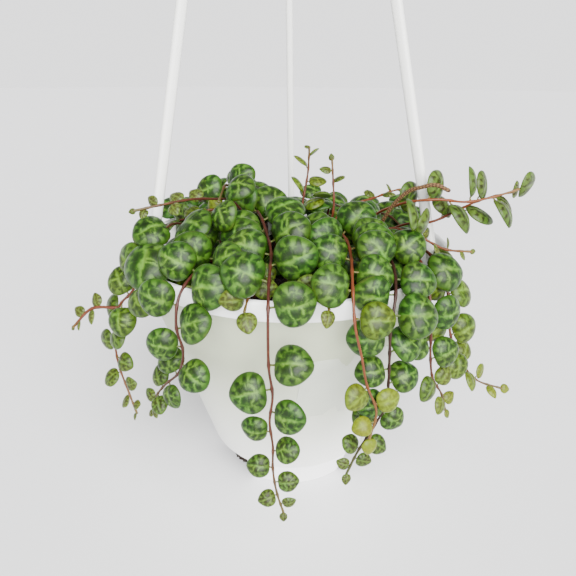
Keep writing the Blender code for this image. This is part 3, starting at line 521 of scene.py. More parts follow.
def place_leaves():
    """Each stem's node, look, route and leaves. A leaf takes the first of its tries that is clear of all
    that is placed, or else of all but its own node's leaves. If none is, it is left out."""
    fixed = fixed_obstacles()
    fixed.append(tube_tree(smooth_route(SPIKE_ROUTE, SPIKE_BEAD_STEP), SPIKE_BEAD_RADIUS + GAP))
    made = [(row, *leaf_rows(row, STEM_SEED + k)) for k, row in enumerate(STEMS)]
    stems = {row.name: tube_tree(route, STEM_RADIUS + STEM_CLEARANCE) for row, route, _ in made}
    taken = []
    for row, route, rows in made:
        node = row.node or row.name
        others = fixed + [shape for name, shape in stems.items() if name != row.name]
        kept = []
        for root, axis, normal, length in rows:
            found = first_clear(node, root, axis, normal, length, others, taken)
            if found:
                *leaf, shape = found
                taken.append((node, root, leaf[2], shape))
                kept.append((root, *leaf))
        yield node, row.look, route, kept


def first_clear(node, root, axis, normal, length, others, taken):
    """The axis, normal, length and shape of a leaf at the try that it takes."""
    near = [(owner, leaf) for owner, place, size, leaf in taken
            if np.linalg.norm(place - root) < size + length + 2]
    others = others + [leaf for owner, leaf in near if owner != node]
    own = [leaf for owner, leaf in near if owner == node]
    fallback = None
    for nod, swing, shrink in TRIES:
        try_axis, try_normal = tipped(axis, normal, 0, math.radians(nod), math.radians(swing))
        points, faces = leaf_solid(length * shrink)
        points = root + points @ np.array([try_axis, np.cross(try_normal, try_axis), try_normal])
        probe = tree(swollen(points, LEAF_CLEARANCE), faces)
        if any(map(probe.overlap, others)):
            continue
        found = (try_axis, try_normal, length * shrink, tree(points, faces))
        if not any(map(probe.overlap, own)):
            return found
        fallback = fallback or found
    return fallback


def srgb(code):
    """A colour's linear values from its sRGB hex code."""
    c = np.array([int(code[i:i + 2], 16) for i in (0, 2, 4)]) / 255
    return (*np.where(c <= 0.04045, c / 12.92, ((c + 0.055) / 1.055) ** 2.4), 1.0)


def feed(socket, value):
    """Gives an input its value or colour, or links it to a socket or to a node's first open output."""
    if isinstance(value, bpy.types.Node):
        value = next(out for out in value.outputs if out.enabled)
    if isinstance(value, bpy.types.NodeSocket):
        socket.id_data.links.new(value, socket)
    else:
        socket.default_value = srgb(value) if isinstance(value, str) else value


# The setting of a node that the word after its kind gives
MODES = {"Math": "operation", "VectorMath": "operation", "Mix": "data_type",
         "MapRange": "interpolation_type", "Attribute": "attribute_name"}


def add_node(tree, kind, *feeds, stops=(), **named):
    """Adds one shader node: its kind and mode, what feeds its open inputs, in turn or by their names,
    and the places and colours along its ramp."""
    kind, _, mode = kind.partition(" ")
    made = tree.nodes.new("ShaderNode" + kind)
    if mode:
        setattr(made, MODES[kind], mode)
    inputs = zip([i for i in made.inputs if i.enabled], feeds)
    for socket, value in [*inputs, *((made.inputs[name], value) for name, value in named.items())]:
        feed(socket, value)
    for _ in stops[2:]:
        made.color_ramp.elements.new(0.5)
    for k, (place, code) in enumerate(stops):
        band = made.color_ramp.elements[k]
        band.position, band.color = place, srgb(code)
    return made


def start_look(name):
    """Starts a material: gives the function that adds its nodes, the object coordinates for its patterns and
    the function that finishes it."""
    made = bpy.data.materials.new(name)
    made.use_nodes = True
    node = partial(add_node, made.node_tree)
    return node, node("TexCoord").outputs["Object"], partial(finish_look, made, node)


def finish_look(made, node, colour, height=None, depth=0.1, strength=1.0, **plain):
    """Feeds the shader its colour, its height, whose depth is in millimetres, and the rest by name."""
    if height:
        plain["Normal"] = node("Bump", Height=height, Distance=depth * MM, Strength=strength)
    shader = made.node_tree.nodes["Principled BSDF"]
    for name, value in {"Base Color": colour, **plain}.items():
        feed(shader.inputs[name.replace("_", " ")], value)
    return made


def leaf_look():
    """Living blade of a succulent peperomia: thick, waxy, softly shining, with pale veins round dark patches
    and a ring of short dark bars inside the edge. Each leaf has a plane of its own: x runs from its root at
    -1 to its tip at +1, y across, and z is the leaf's own number."""
    node, object_place, finish = start_look("waxy_leaf_blade")
    place, kind = (node(f"Attribute {name}").outputs["Vector"] for name in ("leaf_place", "leaf_kind"))
    youth, under, lime = node("SeparateXYZ", kind).outputs
    wander = node("TexNoise", place, Scale=1.7, Detail=2.5).outputs["Color"]
    moved = node("VectorMath MULTIPLY_ADD", wander, (0.36, 0.36, 0), place)
    flat = node("VectorMath MULTIPLY_ADD", moved, (1, 1, 0), (-0.18, -0.18, 0))
    radius = node("VectorMath LENGTH", flat)
    x, y, _ = node("SeparateXYZ", flat).outputs
    side = node("Math ABSOLUTE", y)
    number = node("VectorMath MULTIPLY", place, (0, 0, 1))
    own = node("TexWhiteNoise", number).outputs["Color"]
    own_red, own_green, own_blue = node("SeparateColor", own).outputs
    fray = node("TexNoise", place, Scale=4.2, Detail=3.0)
    # share of the half width, by which the main veins run from root to tip like a globe's meridians
    chord = node("Math MULTIPLY_ADD", node("Math MULTIPLY", x, x), -1.0, 1.2)
    share = node("Math DIVIDE", side, node("Math POWER", chord, 0.5))
    # inner patches: a row on each side of the midrib, parted by cross veins that lean forward
    off_row = node("Math ABSOLUTE", node("Math SUBTRACT", share, 0.29))
    across = node("MapRange", off_row, 0.04, 0.28, 1.0, 0.0)
    forward = node("Math MULTIPLY_ADD", side, -0.5, x)
    own_phase = node("Math MULTIPLY", own_red, 3.1)
    phase = node("Math MULTIPLY_ADD", forward, 4.4, own_phase)
    along = node("Math ABSOLUTE", node("Math SINE", phase))
    inner = node("Math MINIMUM", across, node("Math MULTIPLY", along, 1.3))
    within = node("MapRange", radius, 0.52, 0.72, 1.0, 0.0)
    inner = node("Math MINIMUM", inner, within)
    # outer bars that point outward, about twenty round the leaf, thin toward the edge
    angle = node("Math ARCTAN2", y, x)
    turn = node("Math MULTIPLY_ADD", angle, 10.0, node("Math MULTIPLY", fray, 5.0))
    taper = node("MapRange", radius, 0.6, 0.95, 0.7, 0.0)
    swing = node("Math MULTIPLY_ADD", node("Math COSINE", turn), 0.6, taper)
    off_ring = node("Math ABSOLUTE", node("Math SUBTRACT", radius, 0.77))
    ring = node("MapRange", off_ring, 0.02, 0.24, 1.0, 0.0)
    outer = node("Math MINIMUM", swing, ring)
    field = node("Math MAXIMUM", inner, outer)
    for ragged, size in ((fray, 1.2), (youth, 0.3)):
        field = node("Math MULTIPLY_ADD", ragged, size, field)
    deep = node("MapRange", field, 0.45, 1.1)
    dark = node("MapRange SMOOTHSTEP", field, 0.8, 1.7)
    plainness = node("Math MULTIPLY_ADD", lime, -0.8, 0.88)
    dark = node("Math MULTIPLY", dark, plainness)
    # from the darker green at the edge, partly the leaf's own tone and partly painted shade at the dome's
    # rim, to the veins' pale green in the middle, and on it the patches, the edge and the underside
    middle = node("MapRange", radius, 0.98, 0.45)
    shade = node("Mix RGBA", youth, "14230A", "2A1D0A")
    edge = node("MapRange", radius, 0.97, 1.04, 0.0, 0.6)
    colour = "2C5010"
    for cover, tint in ((middle, "628C30"), (deep, "27450E"), (youth, "576C28"), (lime, "788208"),
                        (dark, shade), (edge, "47561F"), (under, "6C8A42")):
        colour = node("Mix RGBA", cover, colour, tint)
    value = node("MapRange", own_green, 0.0, 1.0, 0.62, 0.88)
    hue = node("MapRange", own_blue, 0.0, 1.0, 0.487, 0.514)
    colour = node("HueSaturation", Hue=hue, Value=value, Color=colour)
    pores = node("TexNoise", object_place, Scale=1 / (0.5 * MM), Detail=2.0)
    height = node("Math MULTIPLY_ADD", pores, 0.25, dark)
    roughness = node("MapRange", pores, 0.3, 0.7, 0.3, 0.42)
    return finish(colour, height, 0.12, 0.5, Roughness=roughness, IOR=1.28, Subsurface_Weight=0.12,
                  Subsurface_Radius=(0.5, 1.0, 0.25), Subsurface_Scale=0.5 * MM)


def stem_look():
    """Living stem of the same plant: smooth, slightly waxy, from dark brown at a stem_tone of 0, over
    red-brown at 0.5, to orange at 1, and greener where it is young."""
    node, place, finish = start_look("red_brown_stem_skin")
    tone = node("Attribute stem_tone").outputs["Vector"]
    ripe, green, _ = node("SeparateXYZ", tone).outputs
    streak = node("TexNoise", place, Scale=1 / (1.6 * MM), Detail=3.0)
    mixed = node("Math MULTIPLY_ADD", streak, 0.5, ripe)
    shift = node("Math SUBTRACT", mixed, 0.25)
    skin = node("ValToRGB", shift, stops=[(0.0, "1D0F09"), (0.5, "3B1A12"), (1.0, "6A3519")])
    colour = node("Mix RGBA", green, skin, "55702E")
    return finish(colour, streak, 0.08, Roughness=0.42, IOR=1.35)


def plastic_look(name, foot, low, high):
    """Injection-moulded polypropylene in warm white: satin, with the faint unevenness of a moulded skin. Its
    plain colour shows in the foot, the rim band and inside. The outside of the thin wall has painted shade
    instead: a little darker from the foot up, and darker and greener further up, as painted shade and
    painted green light from the leaves. Under the floor, inside the foot ring, it is coloured dark brown."""
    node, place, finish = start_look(name)
    z = node("SeparateXYZ", place).outputs["Z"]
    radius = node("VectorMath LENGTH", node("VectorMath MULTIPLY", place, (1, 1, 0)))
    # the outside of the wall, between the foot and the rim band, which gets the painted shade
    band = RIM_TOP - BAND_HEIGHT
    slope = (WALL_TOP_RADIUS - WALL_FOOT_RADIUS) / (band - WALL_FOOT_Z)
    skin = WALL_FOOT_RADIUS - slope * WALL_FOOT_Z - WALL_THICKNESS / 2
    upright = node("Math MULTIPLY_ADD", z, -slope, radius)
    wall = node("MapRange", z, (WALL_FOOT_Z - 0.5) * MM, WALL_FOOT_Z * MM)
    for place_along, start, end in ((upright, skin - 0.2, skin + 0.2), (z, band, band - 0.2)):
        within = node("MapRange", place_along, start * MM, end * MM)
        wall = node("Math MULTIPLY", wall, within)
    # dark brown under the floor, inside the foot ring
    inside = FOOT_RADIUS - FOOT_RING_THICKNESS
    dark_underneath = node("Math MULTIPLY", node("MapRange", radius, (inside + 0.4) * MM, inside * MM),
                   node("MapRange", z, FLOOR_TOP * MM, (FLOOR_TOP - 1) * MM))
    # painted shade and painted green light from the leaves: the wall goes from low to high, darker and
    # greener, up to 60 mm
    upward = node("MapRange", z, WALL_FOOT_Z * MM, 60 * MM)
    colour = node("Mix RGBA", wall, foot, node("Mix RGBA", upward, low, high))
    colour = node("Mix RGBA", dark_underneath, colour, "3B2F22")
    broad = node("TexNoise", place, Scale=1 / (18 * MM), Detail=2.0)
    fine = node("TexNoise", place, Scale=1 / (0.7 * MM), Detail=2.0)
    colour = node("HueSaturation", Value=node("MapRange", broad, 0.0, 1.0, 0.97, 1.02), Color=colour)
    roughness = node("MapRange", broad, 0.3, 0.7, 0.36, 0.46)
    height = node("Math MULTIPLY_ADD", broad, 6.0, fine)
    return finish(colour, height, 0.03, 0.5, Roughness=roughness, IOR=1.49, Subsurface_Weight=0.08,
                  Subsurface_Radius=(1.0, 1.0, 0.9), Subsurface_Scale=1.5 * MM)


def film_look():
    """Clear gummed film, blank: smooth and a trace glossier than the plastic under it. Its grey-green colour
    is painted shade, matched to the painted shade of the wall under it.
    """
    node, place, finish = start_look("clear_gummed_film_painted_shade")
    ripple = node("TexNoise", place, Scale=1 / (9 * MM), Detail=2.0)
    # painted shade: both colours are as grey-green as the shaded wall
    colour = node("Mix RGBA", ripple, "C4C8BA", "BEC2B4")
    return finish(colour, ripple, 0.15, 0.4, Roughness=0.38, IOR=1.45)


def soil_look():
    """Damp peat potting mix: nearly black, crumbly and dull, with paler crumbs of bark and fibre."""
    node, place, finish = start_look("damp_peat_mix")
    clods = node("TexNoise", place, Scale=1 / (3 * MM), Detail=5.0, Roughness=0.7)
    grains = node("TexVoronoi", place, Scale=1 / (1.1 * MM))
    colour = node("ValToRGB", clods, stops=[(0.30, "100C09"), (0.55, "261C15"), (0.78, "4A3829")])
    height = node("Math MULTIPLY_ADD", clods, 2.0, grains)
    return finish(colour, height, 0.6, Roughness=0.93, IOR=1.35)


def spike_look():
    """Dry flower spike: dull brown, with paler buds."""
    node, place, finish = start_look("dry_flower_spike_skin")
    speckle = node("TexNoise", place, Scale=1 / (0.6 * MM), Detail=3.0)
    bud = node("Attribute bud_height").outputs["Vector"]
    raised = node("SeparateXYZ", bud).outputs["X"]
    mixed = node("Math MULTIPLY_ADD", speckle, 0.4, raised)
    colour = node("ValToRGB", mixed, stops=[(0.35, "2E1508"), (1.0, "7A5C38")])
    return finish(colour, speckle, 0.1, Roughness=0.7, IOR=1.4)


def paper_look():
    """Matt pale grey paper sweep under and behind the object."""
    node, place, finish = start_look("pale_grey_paper")
    fibre = node("TexNoise", place, Scale=1 / (40 * MM), Detail=2.0)
    return finish(node("Mix RGBA", fibre, "E2E2E3", "DFDFE0"), Roughness=0.9)


# the pot's foot FCFCFB is its own white; the wall's ECECE8 and B4BAA0 are painted shade, B4BAA0 also painted
# green light from the leaves
POT_WALL_PAINTED_SHADE = plastic_look("moulded_white_polypropylene_pot_painted_shade", "FCFCFB", "ECECE8", "B4BAA0")
PLASTIC = plastic_look("moulded_white_polypropylene", *["E3E3DF"] * 3)
LEAF, STEM, FILM, SOIL, SPIKE, PAPER = (
    leaf_look(), stem_look(), film_look(), soil_look(), spike_look(), paper_look())


def linked(name, data):
    """A new object of the scene."""
    made = bpy.data.objects.new(name, data)
    bpy.context.scene.collection.objects.link(made)
    return made


def turns(count):
    """Even steps round a full turn."""
    return 2 * np.pi * np.arange(count) / count


def round_points(radius, turn, z, centre=(0, 0)):
    """Points at x = centre + radius cos turn, y = centre + radius sin turn, and z."""
    x, y = centre[0] + radius * np.cos(turn), centre[1] + radius * np.sin(turn)
    return np.stack(np.broadcast_arrays(x, y, z), -1)


def squared(wave, power):
    """A sine or cosine with its size raised to a power, which squares a circle off."""
    return np.sign(wave) * np.abs(wave) ** power


def shells(name, first, rings, last, look, values=None):
    """A mesh object of one or more closed shells. Each is a pole, rings of points that close on
    themselves, and a second pole. Values are attributes, with vectors in the order of the points."""
    levels, around, _ = rings.shape[-3:]
    points = np.concatenate([np.reshape(part, (-1, size, 3)) for part, size in
                             ((first, 1), (rings, levels * around), (last, 1))], axis=1)
    count, size, _ = points.shape
    k = np.arange(around)
    after = (k + 1) % around
    row = 1 + np.arange(levels - 1)[:, None] * around
    quads = np.stack([row + k, row + k + around, row + after + around, row + after], -1).reshape(-1, 4)
    low = 1 + (levels - 1) * around
    fans = np.concatenate([np.stack([0 * k, 1 + k, 1 + after], -1),
                           np.stack([0 * k + size - 1, low + after, low + k], -1)])
    # a negative volume means that the faces look inward
    halves = np.concatenate([fans, quads[:, :3], quads[:, [0, 2, 3]]])
    a, b, c = (points[:, halves[:, i]] for i in range(3))
    if np.sum(a * np.cross(b, c)) < 0:
        quads, fans = quads[:, ::-1], fans[:, ::-1]
    shift = size * np.arange(count)[:, None, None]
    faces = (fans + shift).reshape(-1, 3).tolist() + (quads + shift).reshape(-1, 4).tolist()
    mesh = bpy.data.meshes.new(name)
    mesh.from_pydata((points.reshape(-1, 3) * MM).tolist(), [], faces)
    mesh.shade_smooth()
    mesh.materials.append(look)
    for key, value in (values or {}).items():
        layer = mesh.attributes.new(key, "FLOAT_VECTOR", "POINT")
        layer.data.foreach_set("vector", value.astype(np.float32).ravel())
    return linked(name, mesh)


def merged(name, things):
    """Joins the meshes of several objects into the first one's, and names it."""
    work = bmesh.new()
    for thing in things:
        work.from_mesh(thing.data)
    mesh = things[0].data
    work.to_mesh(mesh)
    work.free()
    for thing in things[1:]:
        bpy.data.objects.remove(thing, do_unlink=True)
    things[0].name = mesh.name = name
    return things[0]


def dress(piece, slot, *nodes):
    """Seats a finished piece on the part, in place of the nodes that it stands for."""
    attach(piece, "root")
    if nodes:
        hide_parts(*nodes)


def rounded(corners, radius, steps=4):
    """An open profile with each inner corner made a short quadratic curve."""
    p = np.array(corners, float)
    before, corner, after = p[:-2], p[1:-1], p[2:]
    reach_a, reach_b = (np.linalg.norm(q - corner, axis=1, keepdims=True) for q in (before, after))
    size = np.minimum(np.minimum(reach_a, reach_b) * 0.45, radius)
    start = corner + (before - corner) / reach_a * size
    end = corner + (after - corner) / reach_b * size
    t = np.linspace(0, 1, steps + 1)[None, :, None]
    curve = (1 - t) ** 2 * start[:, None] + 2 * t * (1 - t) * corner[:, None] + t ** 2 * end[:, None]
    return np.vstack([p[:1], curve.reshape(-1, 2), p[-1:]])


def turned(name, profile, around, look, centre=(0, 0)):
    """A solid of revolution: a profile of radius and height, from axis to axis, carried round."""
    radius, height = np.array(profile, float).T
    rings = round_points(radius[1:-1, None], turns(around), height[1:-1, None], centre)
    return shells(name, (*centre, height[0]), rings, (*centre, height[-1]), look)


# How many rings each rounded end of a rod has
END_RINGS = 3


def rod(name, path, radii, around, reach, look, values=None, swelling=0.0):
    """A round rod: each point of its path plus its radius times cos turn across and sin turn up. The two
    directions turn as little as they can along the path. Each end runs on by its reach, while the radius
    falls as a quarter of an ellipse, and the rod may swell by a share of its radius."""
    turn = np.linspace(0, np.pi / 2, END_RINGS + 2)[1:-1]
    head, tail = unit(path[0] - path[1]), unit(path[-1] - path[-2])
    path = np.vstack([path[0] + head * reach * np.sin(turn[::-1])[:, None], path,
                      path[-1] + tail * reach * np.sin(turn)[:, None]])
    radii = np.concatenate([radii[0] * np.cos(turn[::-1]), radii, radii[-1] * np.cos(turn)])
    along = unit(np.gradient(path, axis=0))
    across = [unit(np.cross(along[0], [0.3, 0.5, 0.81]))]
    for direction in along[1:]:
        across.append(unit(across[-1] - np.dot(across[-1], direction) * direction))
    across = np.array(across)
    cos, sin = (wave(turns(around))[:, None] for wave in (np.cos, np.sin))
    out = across[:, None] * cos + np.cross(along, across)[:, None] * sin
    rings = path[:, None] + out * (radii[:, None] * (1 + swelling))[..., None]
    first, last = path[0] + head * reach * 0.02, path[-1] + tail * reach * 0.02
    return shells(name, first, rings, last, look, values)


def cutter(name, size, radius, azimuth, z):
    """A box of a width, depth and height, with its middle at a place round the pot and turned to it."""
    turn = Matrix.Rotation(math.radians(azimuth - 90), 4, "Z")
    place = Matrix.Scale(MM, 4) @ Matrix.Translation(polar(radius, azimuth, z)) @ turn
    work = bmesh.new()
    bmesh.ops.create_cube(work, size=1.0, matrix=place @ Matrix.Diagonal((*size, 1)))
    mesh = bpy.data.meshes.new(name)
    work.to_mesh(mesh)
    work.free()
    return linked(name, mesh)


def cut(thing, cutters):
    """Takes the cutters' space away from a piece, at once, and removes them."""
    group = bpy.data.collections.new("cutters")
    for made in cutters:
        group.objects.link(made)
    bpy.context.view_layer.update()
    hole = thing.modifiers.new("holes", "BOOLEAN")
    hole.operation, hole.solver = "DIFFERENCE", "EXACT"
    hole.operand_type, hole.collection = "COLLECTION", group
    mesh = bpy.data.meshes.new_from_object(thing.evaluated_get(bpy.context.evaluated_depsgraph_get()))
    thing.modifiers.clear()
    thing.data = mesh
    for made in cutters:
        bpy.data.objects.remove(made, do_unlink=True)
    bpy.data.collections.remove(group)
    mesh.shade_smooth()
    mesh.set_sharp_from_angle(angle=math.radians(35))
    return thing


def make_pot():
    """The moulded pot: its turned profile with rounded corners, slots, foot notches and drain holes."""
    pot = turned("moulded_pot", rounded(pot_profile(), CORNER_ROUNDING), POT_SIDES, POT_WALL_PAINTED_SHADE)
    low, high = FLOOR_TOP - FLOOR_THICKNESS - CUT_MARGIN, FLOOR_TOP + CUT_MARGIN
    slot_radius = wall_radius(SLOT_Z) - WALL_THICKNESS / 2
    notch_width = 2 * FOOT_RADIUS * math.sin(math.radians(FOOT_NOTCH_ANGLE / 2))
    notch_size = (notch_width, FOOT_NOTCH_DEPTH, 2 * low)
    drain = [(0, low), (DRAIN_RADIUS, low), (DRAIN_RADIUS, high), (0, high)]
    cutters = [cutter(f"slot_{name}", SLOT_SIZE, slot_radius, azimuth, SLOT_Z)
               for name, azimuth in ARM_AZIMUTHS.items()]
    cutters += [cutter(f"notch_{azimuth:.0f}", notch_size, FOOT_RADIUS, azimuth, 0)
                for azimuth in FOOT_NOTCH_AZIMUTHS]
    for k in range(DRAIN_HOLES):
        centre = polar(DRAIN_CIRCLE, 360 * k / DRAIN_HOLES, 0).xy
        cutters.append(turned(f"drain_{k}", drain, DRAIN_SIDES, POT_WALL_PAINTED_SHADE, centre))
    dress(cut(pot, cutters), "white_plastic", "pot")


def make_label():
    """The blank clear label: a thin patch that follows the wall, its edges let down on it. Its points are a
    grid over angle and height whose outline is a superellipse."""
    around, levels = LABEL_GRID
    turn = turns(around)
    share = np.sin(np.linspace(0.02, np.pi / 2, levels))
    wide, tall = squared(np.cos(turn), LABEL_POWER), squared(np.sin(turn), LABEL_POWER)
    azimuth, height = LABEL_PLACE

    def sheet(shares, lift):
        z = height + shares[:, None] * tall * LABEL_SIZE[1] / 2
        radius = wall_radius(z) + lift
        at = math.radians(azimuth) + shares[:, None] * wide * LABEL_SIZE[0] / 2 / radius
        return round_points(radius, at, z)

    rings = np.concatenate([sheet(share, LABEL_THICKNESS), sheet(share[::-1], 0.0)])
    first, last = (sheet(np.zeros(1), lift)[:, 0] for lift in (LABEL_THICKNESS, 0.0))
    dress(shells("blank_label", first, rings, last, FILM), "white_plastic")


def make_arm(name, azimuth):
    """A moulded arm: a superellipse carried from the clip inside the wall, over its bend, to the hub, with
    rounded ends. Its half widths and its squareness change along it."""
    foot, top = (np.array(p) for p in arm_ends(azimuth))
    tangent = np.array(polar(1, azimuth + 90, 0))
    lean = np.array(polar(math.sin(WALL_SLOPE), azimuth, math.cos(WALL_SLOPE)))
    clip_z = ARM_BEND_Z + CLIP_OVERLAP - CLIP_SIZE[2] / 2 * math.cos(WALL_SLOPE)
    clip_radius = wall_radius(clip_z, True) - (CLIP_SIZE[1] / 2 + CLIP_WALL_GAP) / math.cos(WALL_SLOPE)
    middle = np.array(polar(clip_radius, azimuth, clip_z))
    up = unit(top - foot)
    low, high = middle - lean * (CLIP_SIZE[2] / 2 - 0.5), middle + lean * (CLIP_SIZE[2] / 2 - 3.5)
    clip = (CLIP_SIZE[0] / 2, CLIP_SIZE[1] / 2, CLIP_SQUARENESS)
    shaft = (ARM_WIDTH / 2, ARM_DEPTH / 2, ARM_SQUARENESS)
    # each station's place, its share of the full size, and its half width, half depth and squareness
    rows = [(low - lean * 0.5, 0.55, clip), (low - lean * 0.35, 0.85, clip), (low, 1.0, clip),
            (high, 1.0, clip), (high + lean * 1.6, 1.0, (2.9, 1.15, 5.0)),
            (foot + up * 1.5, 1.0, (2.3, 1.35, 3.2)), (foot + up * 4, 1.0, shaft),
            (foot + up * 30, 1.0, shaft), ((foot + top) / 2, 1.0, shaft), (top - up * 0.6, 1.0, shaft),
            (top - up * 0.2, 0.9, shaft), (top, 0.6, shaft)]
    places, scale, shape = map(np.array, zip(*rows))
    depth = unit(np.cross(tangent, np.gradient(places, axis=0)))
    turn, power = turns(ARM_SIDES), 2 / shape[:, 2:]
    wide = squared(np.cos(turn), power) * shape[:, :1] * scale[:, None]
    deep = squared(np.sin(turn), power) * shape[:, 1:2] * scale[:, None]
    rings = places[:, None] + wide[..., None] * tangent + deep[..., None] * depth[:, None]
    arm = shells("arm", places[0], rings, places[-1], PLASTIC)
    arm = merged(f"moulded_arm_{name}", [arm, make_barb(azimuth)])
    dress(arm, "white_plastic", f"hanger_arm_{name}")


def make_barb(azimuth):
    """The arm's barb in the wall's slot: a superellipsoid nearly as square as a box."""
    lift = np.linspace(-np.pi / 2, np.pi / 2, 14)[1:-1, None]
    level, rise = squared(np.cos(lift), BARB_POWER), squared(np.sin(lift), BARB_POWER)
    wide, deep = (level * squared(wave(turns(BARB_SIDES)), BARB_POWER) for wave in (np.cos, np.sin))
    axes = np.array([polar(1, azimuth + 90, 0), polar(1, azimuth, 0), (0, 0, 1)])
    axes = axes * np.array(BARB_SIZE)[:, None] / 2
    centre = np.array(polar(wall_radius(SLOT_Z, True) + WALL_THICKNESS / 2, azimuth, SLOT_Z))
    rings = centre + np.stack(np.broadcast_arrays(wide, deep, rise), -1) @ axes
    return shells("barb", centre - axes[2], rings, centre + axes[2], PLASTIC)


def make_hook():
    """The hub, turned with rounded edges, and the open hook, a round rod along its shank and ring."""
    x, y = HUB_CENTRE
    top = HUB_BOTTOM + HUB_HEIGHT
    wide, narrow = BOSS_RADII
    profile = [(0, HUB_BOTTOM), (HUB_RADIUS, HUB_BOTTOM), (HUB_RADIUS, top), (wide, top),
               (narrow, top + BOSS_HEIGHT), (0, top + BOSS_HEIGHT)]
    hub = turned("hub", rounded(profile, HUB_ROUNDING), HUB_SIDES, PLASTIC, HUB_CENTRE)
    turn = np.radians(-90 + HOOK_SWEEP * np.linspace(0, 1, HOOK_STEPS + 1))
    ring = round_points(HOOK_RADIUS, turn, 0)[:, [0, 2, 1]] + [x, y, top + HOOK_SHANK + HOOK_RADIUS]
    shank = np.array([[x, y, z] for z in np.linspace(top - 1, top + HOOK_SHANK - 1.2, 6)])
    path = np.vstack([shank, ring[2:]])
    hook = rod("hook", path, np.full(len(path), HOOK_WIRE_RADIUS), HOOK_SIDES, 0.4, PLASTIC)
    dress(merged("moulded_hub_and_hook", [hub, hook]), "white_plastic", "hanger_hook")


def make_soil():
    """The soil: a mound, whose height over radius and angle has small sine waves added for clods, and loose
    crumbs. The last of them are caught in the foot's left notch, under the wall."""
    rng = np.random.default_rng(SOIL_SEED)
    turn = turns(SOIL_SIDES)
    edge = wall_radius(SOIL_EDGE_Z, True) - GAP
    radius = edge * np.linspace(0, 1, SOIL_RINGS + 1)[1:, None] + 0 * turn
    top = round_points(radius, turn, np.vectorize(soil_height)(radius, turn))
    x, y, z = (top[..., i] for i in range(3))
    for size in CLOD_SIZES:
        for wave in unit(rng.normal(size=(3, 2))) * 2 * np.pi / size:
            z += CLOD_SHARE * size * np.sin(wave[0] * x + wave[1] * y + rng.uniform(0, 6.3))
    bottom = FLOOR_TOP + GAP
    under = np.array([(wall_radius(z_low, True) - GAP, z_low) for z_low in (60, 40, 25, bottom + 1.6)]
                     + [(wall_radius(bottom, True) - 1.6, bottom)])
    rings = np.concatenate([top, round_points(under[:, :1], turn, under[:, 1:])])
    body = shells("soil_body", (0, 0, z[0].mean()), rings, (0, 0, bottom), SOIL)
    # crumbs: small lumps, each a few rings pushed in and out at random
    far, at = edge * np.sqrt(rng.uniform(0, 0.97, CRUMBS)), rng.uniform(0, 2 * np.pi, CRUMBS)
    size = rng.gamma(3.0, 0.22, CRUMBS) + 0.25
    centres = round_points(far, at, np.vectorize(soil_height)(far, at) + 0.25 * size)
    far, at, size[-CAUGHT_CRUMBS:], z = (rng.uniform(*span, CAUGHT_CRUMBS) for span in (
        CAUGHT_RADII, CAUGHT_AZIMUTHS, CAUGHT_SIZES, CAUGHT_HEIGHTS))
    centres[-CAUGHT_CRUMBS:] = round_points(far, np.radians(at), z)
    lift = np.radians([60, 20, -20, -60])[:, None]
    ball = round_points(np.cos(lift), turns(7), np.sin(lift))
    lumps = ball * size[:, None, None, None] * rng.uniform(0.7, 1.2, (CRUMBS, 4, 7, 1))
    lumps = lumps * rng.uniform(0.6, 1.2, (CRUMBS, 1, 1, 3)) + centres[:, None, None]
    first, last = (centres + np.outer(size * sign, [0, 0, 0.8]) for sign in (1, -1))
    crumbs = shells("crumbs", first, lumps, last, SOIL)
    dress(merged("potting_mix", [body, crumbs]), "soil", "soil")


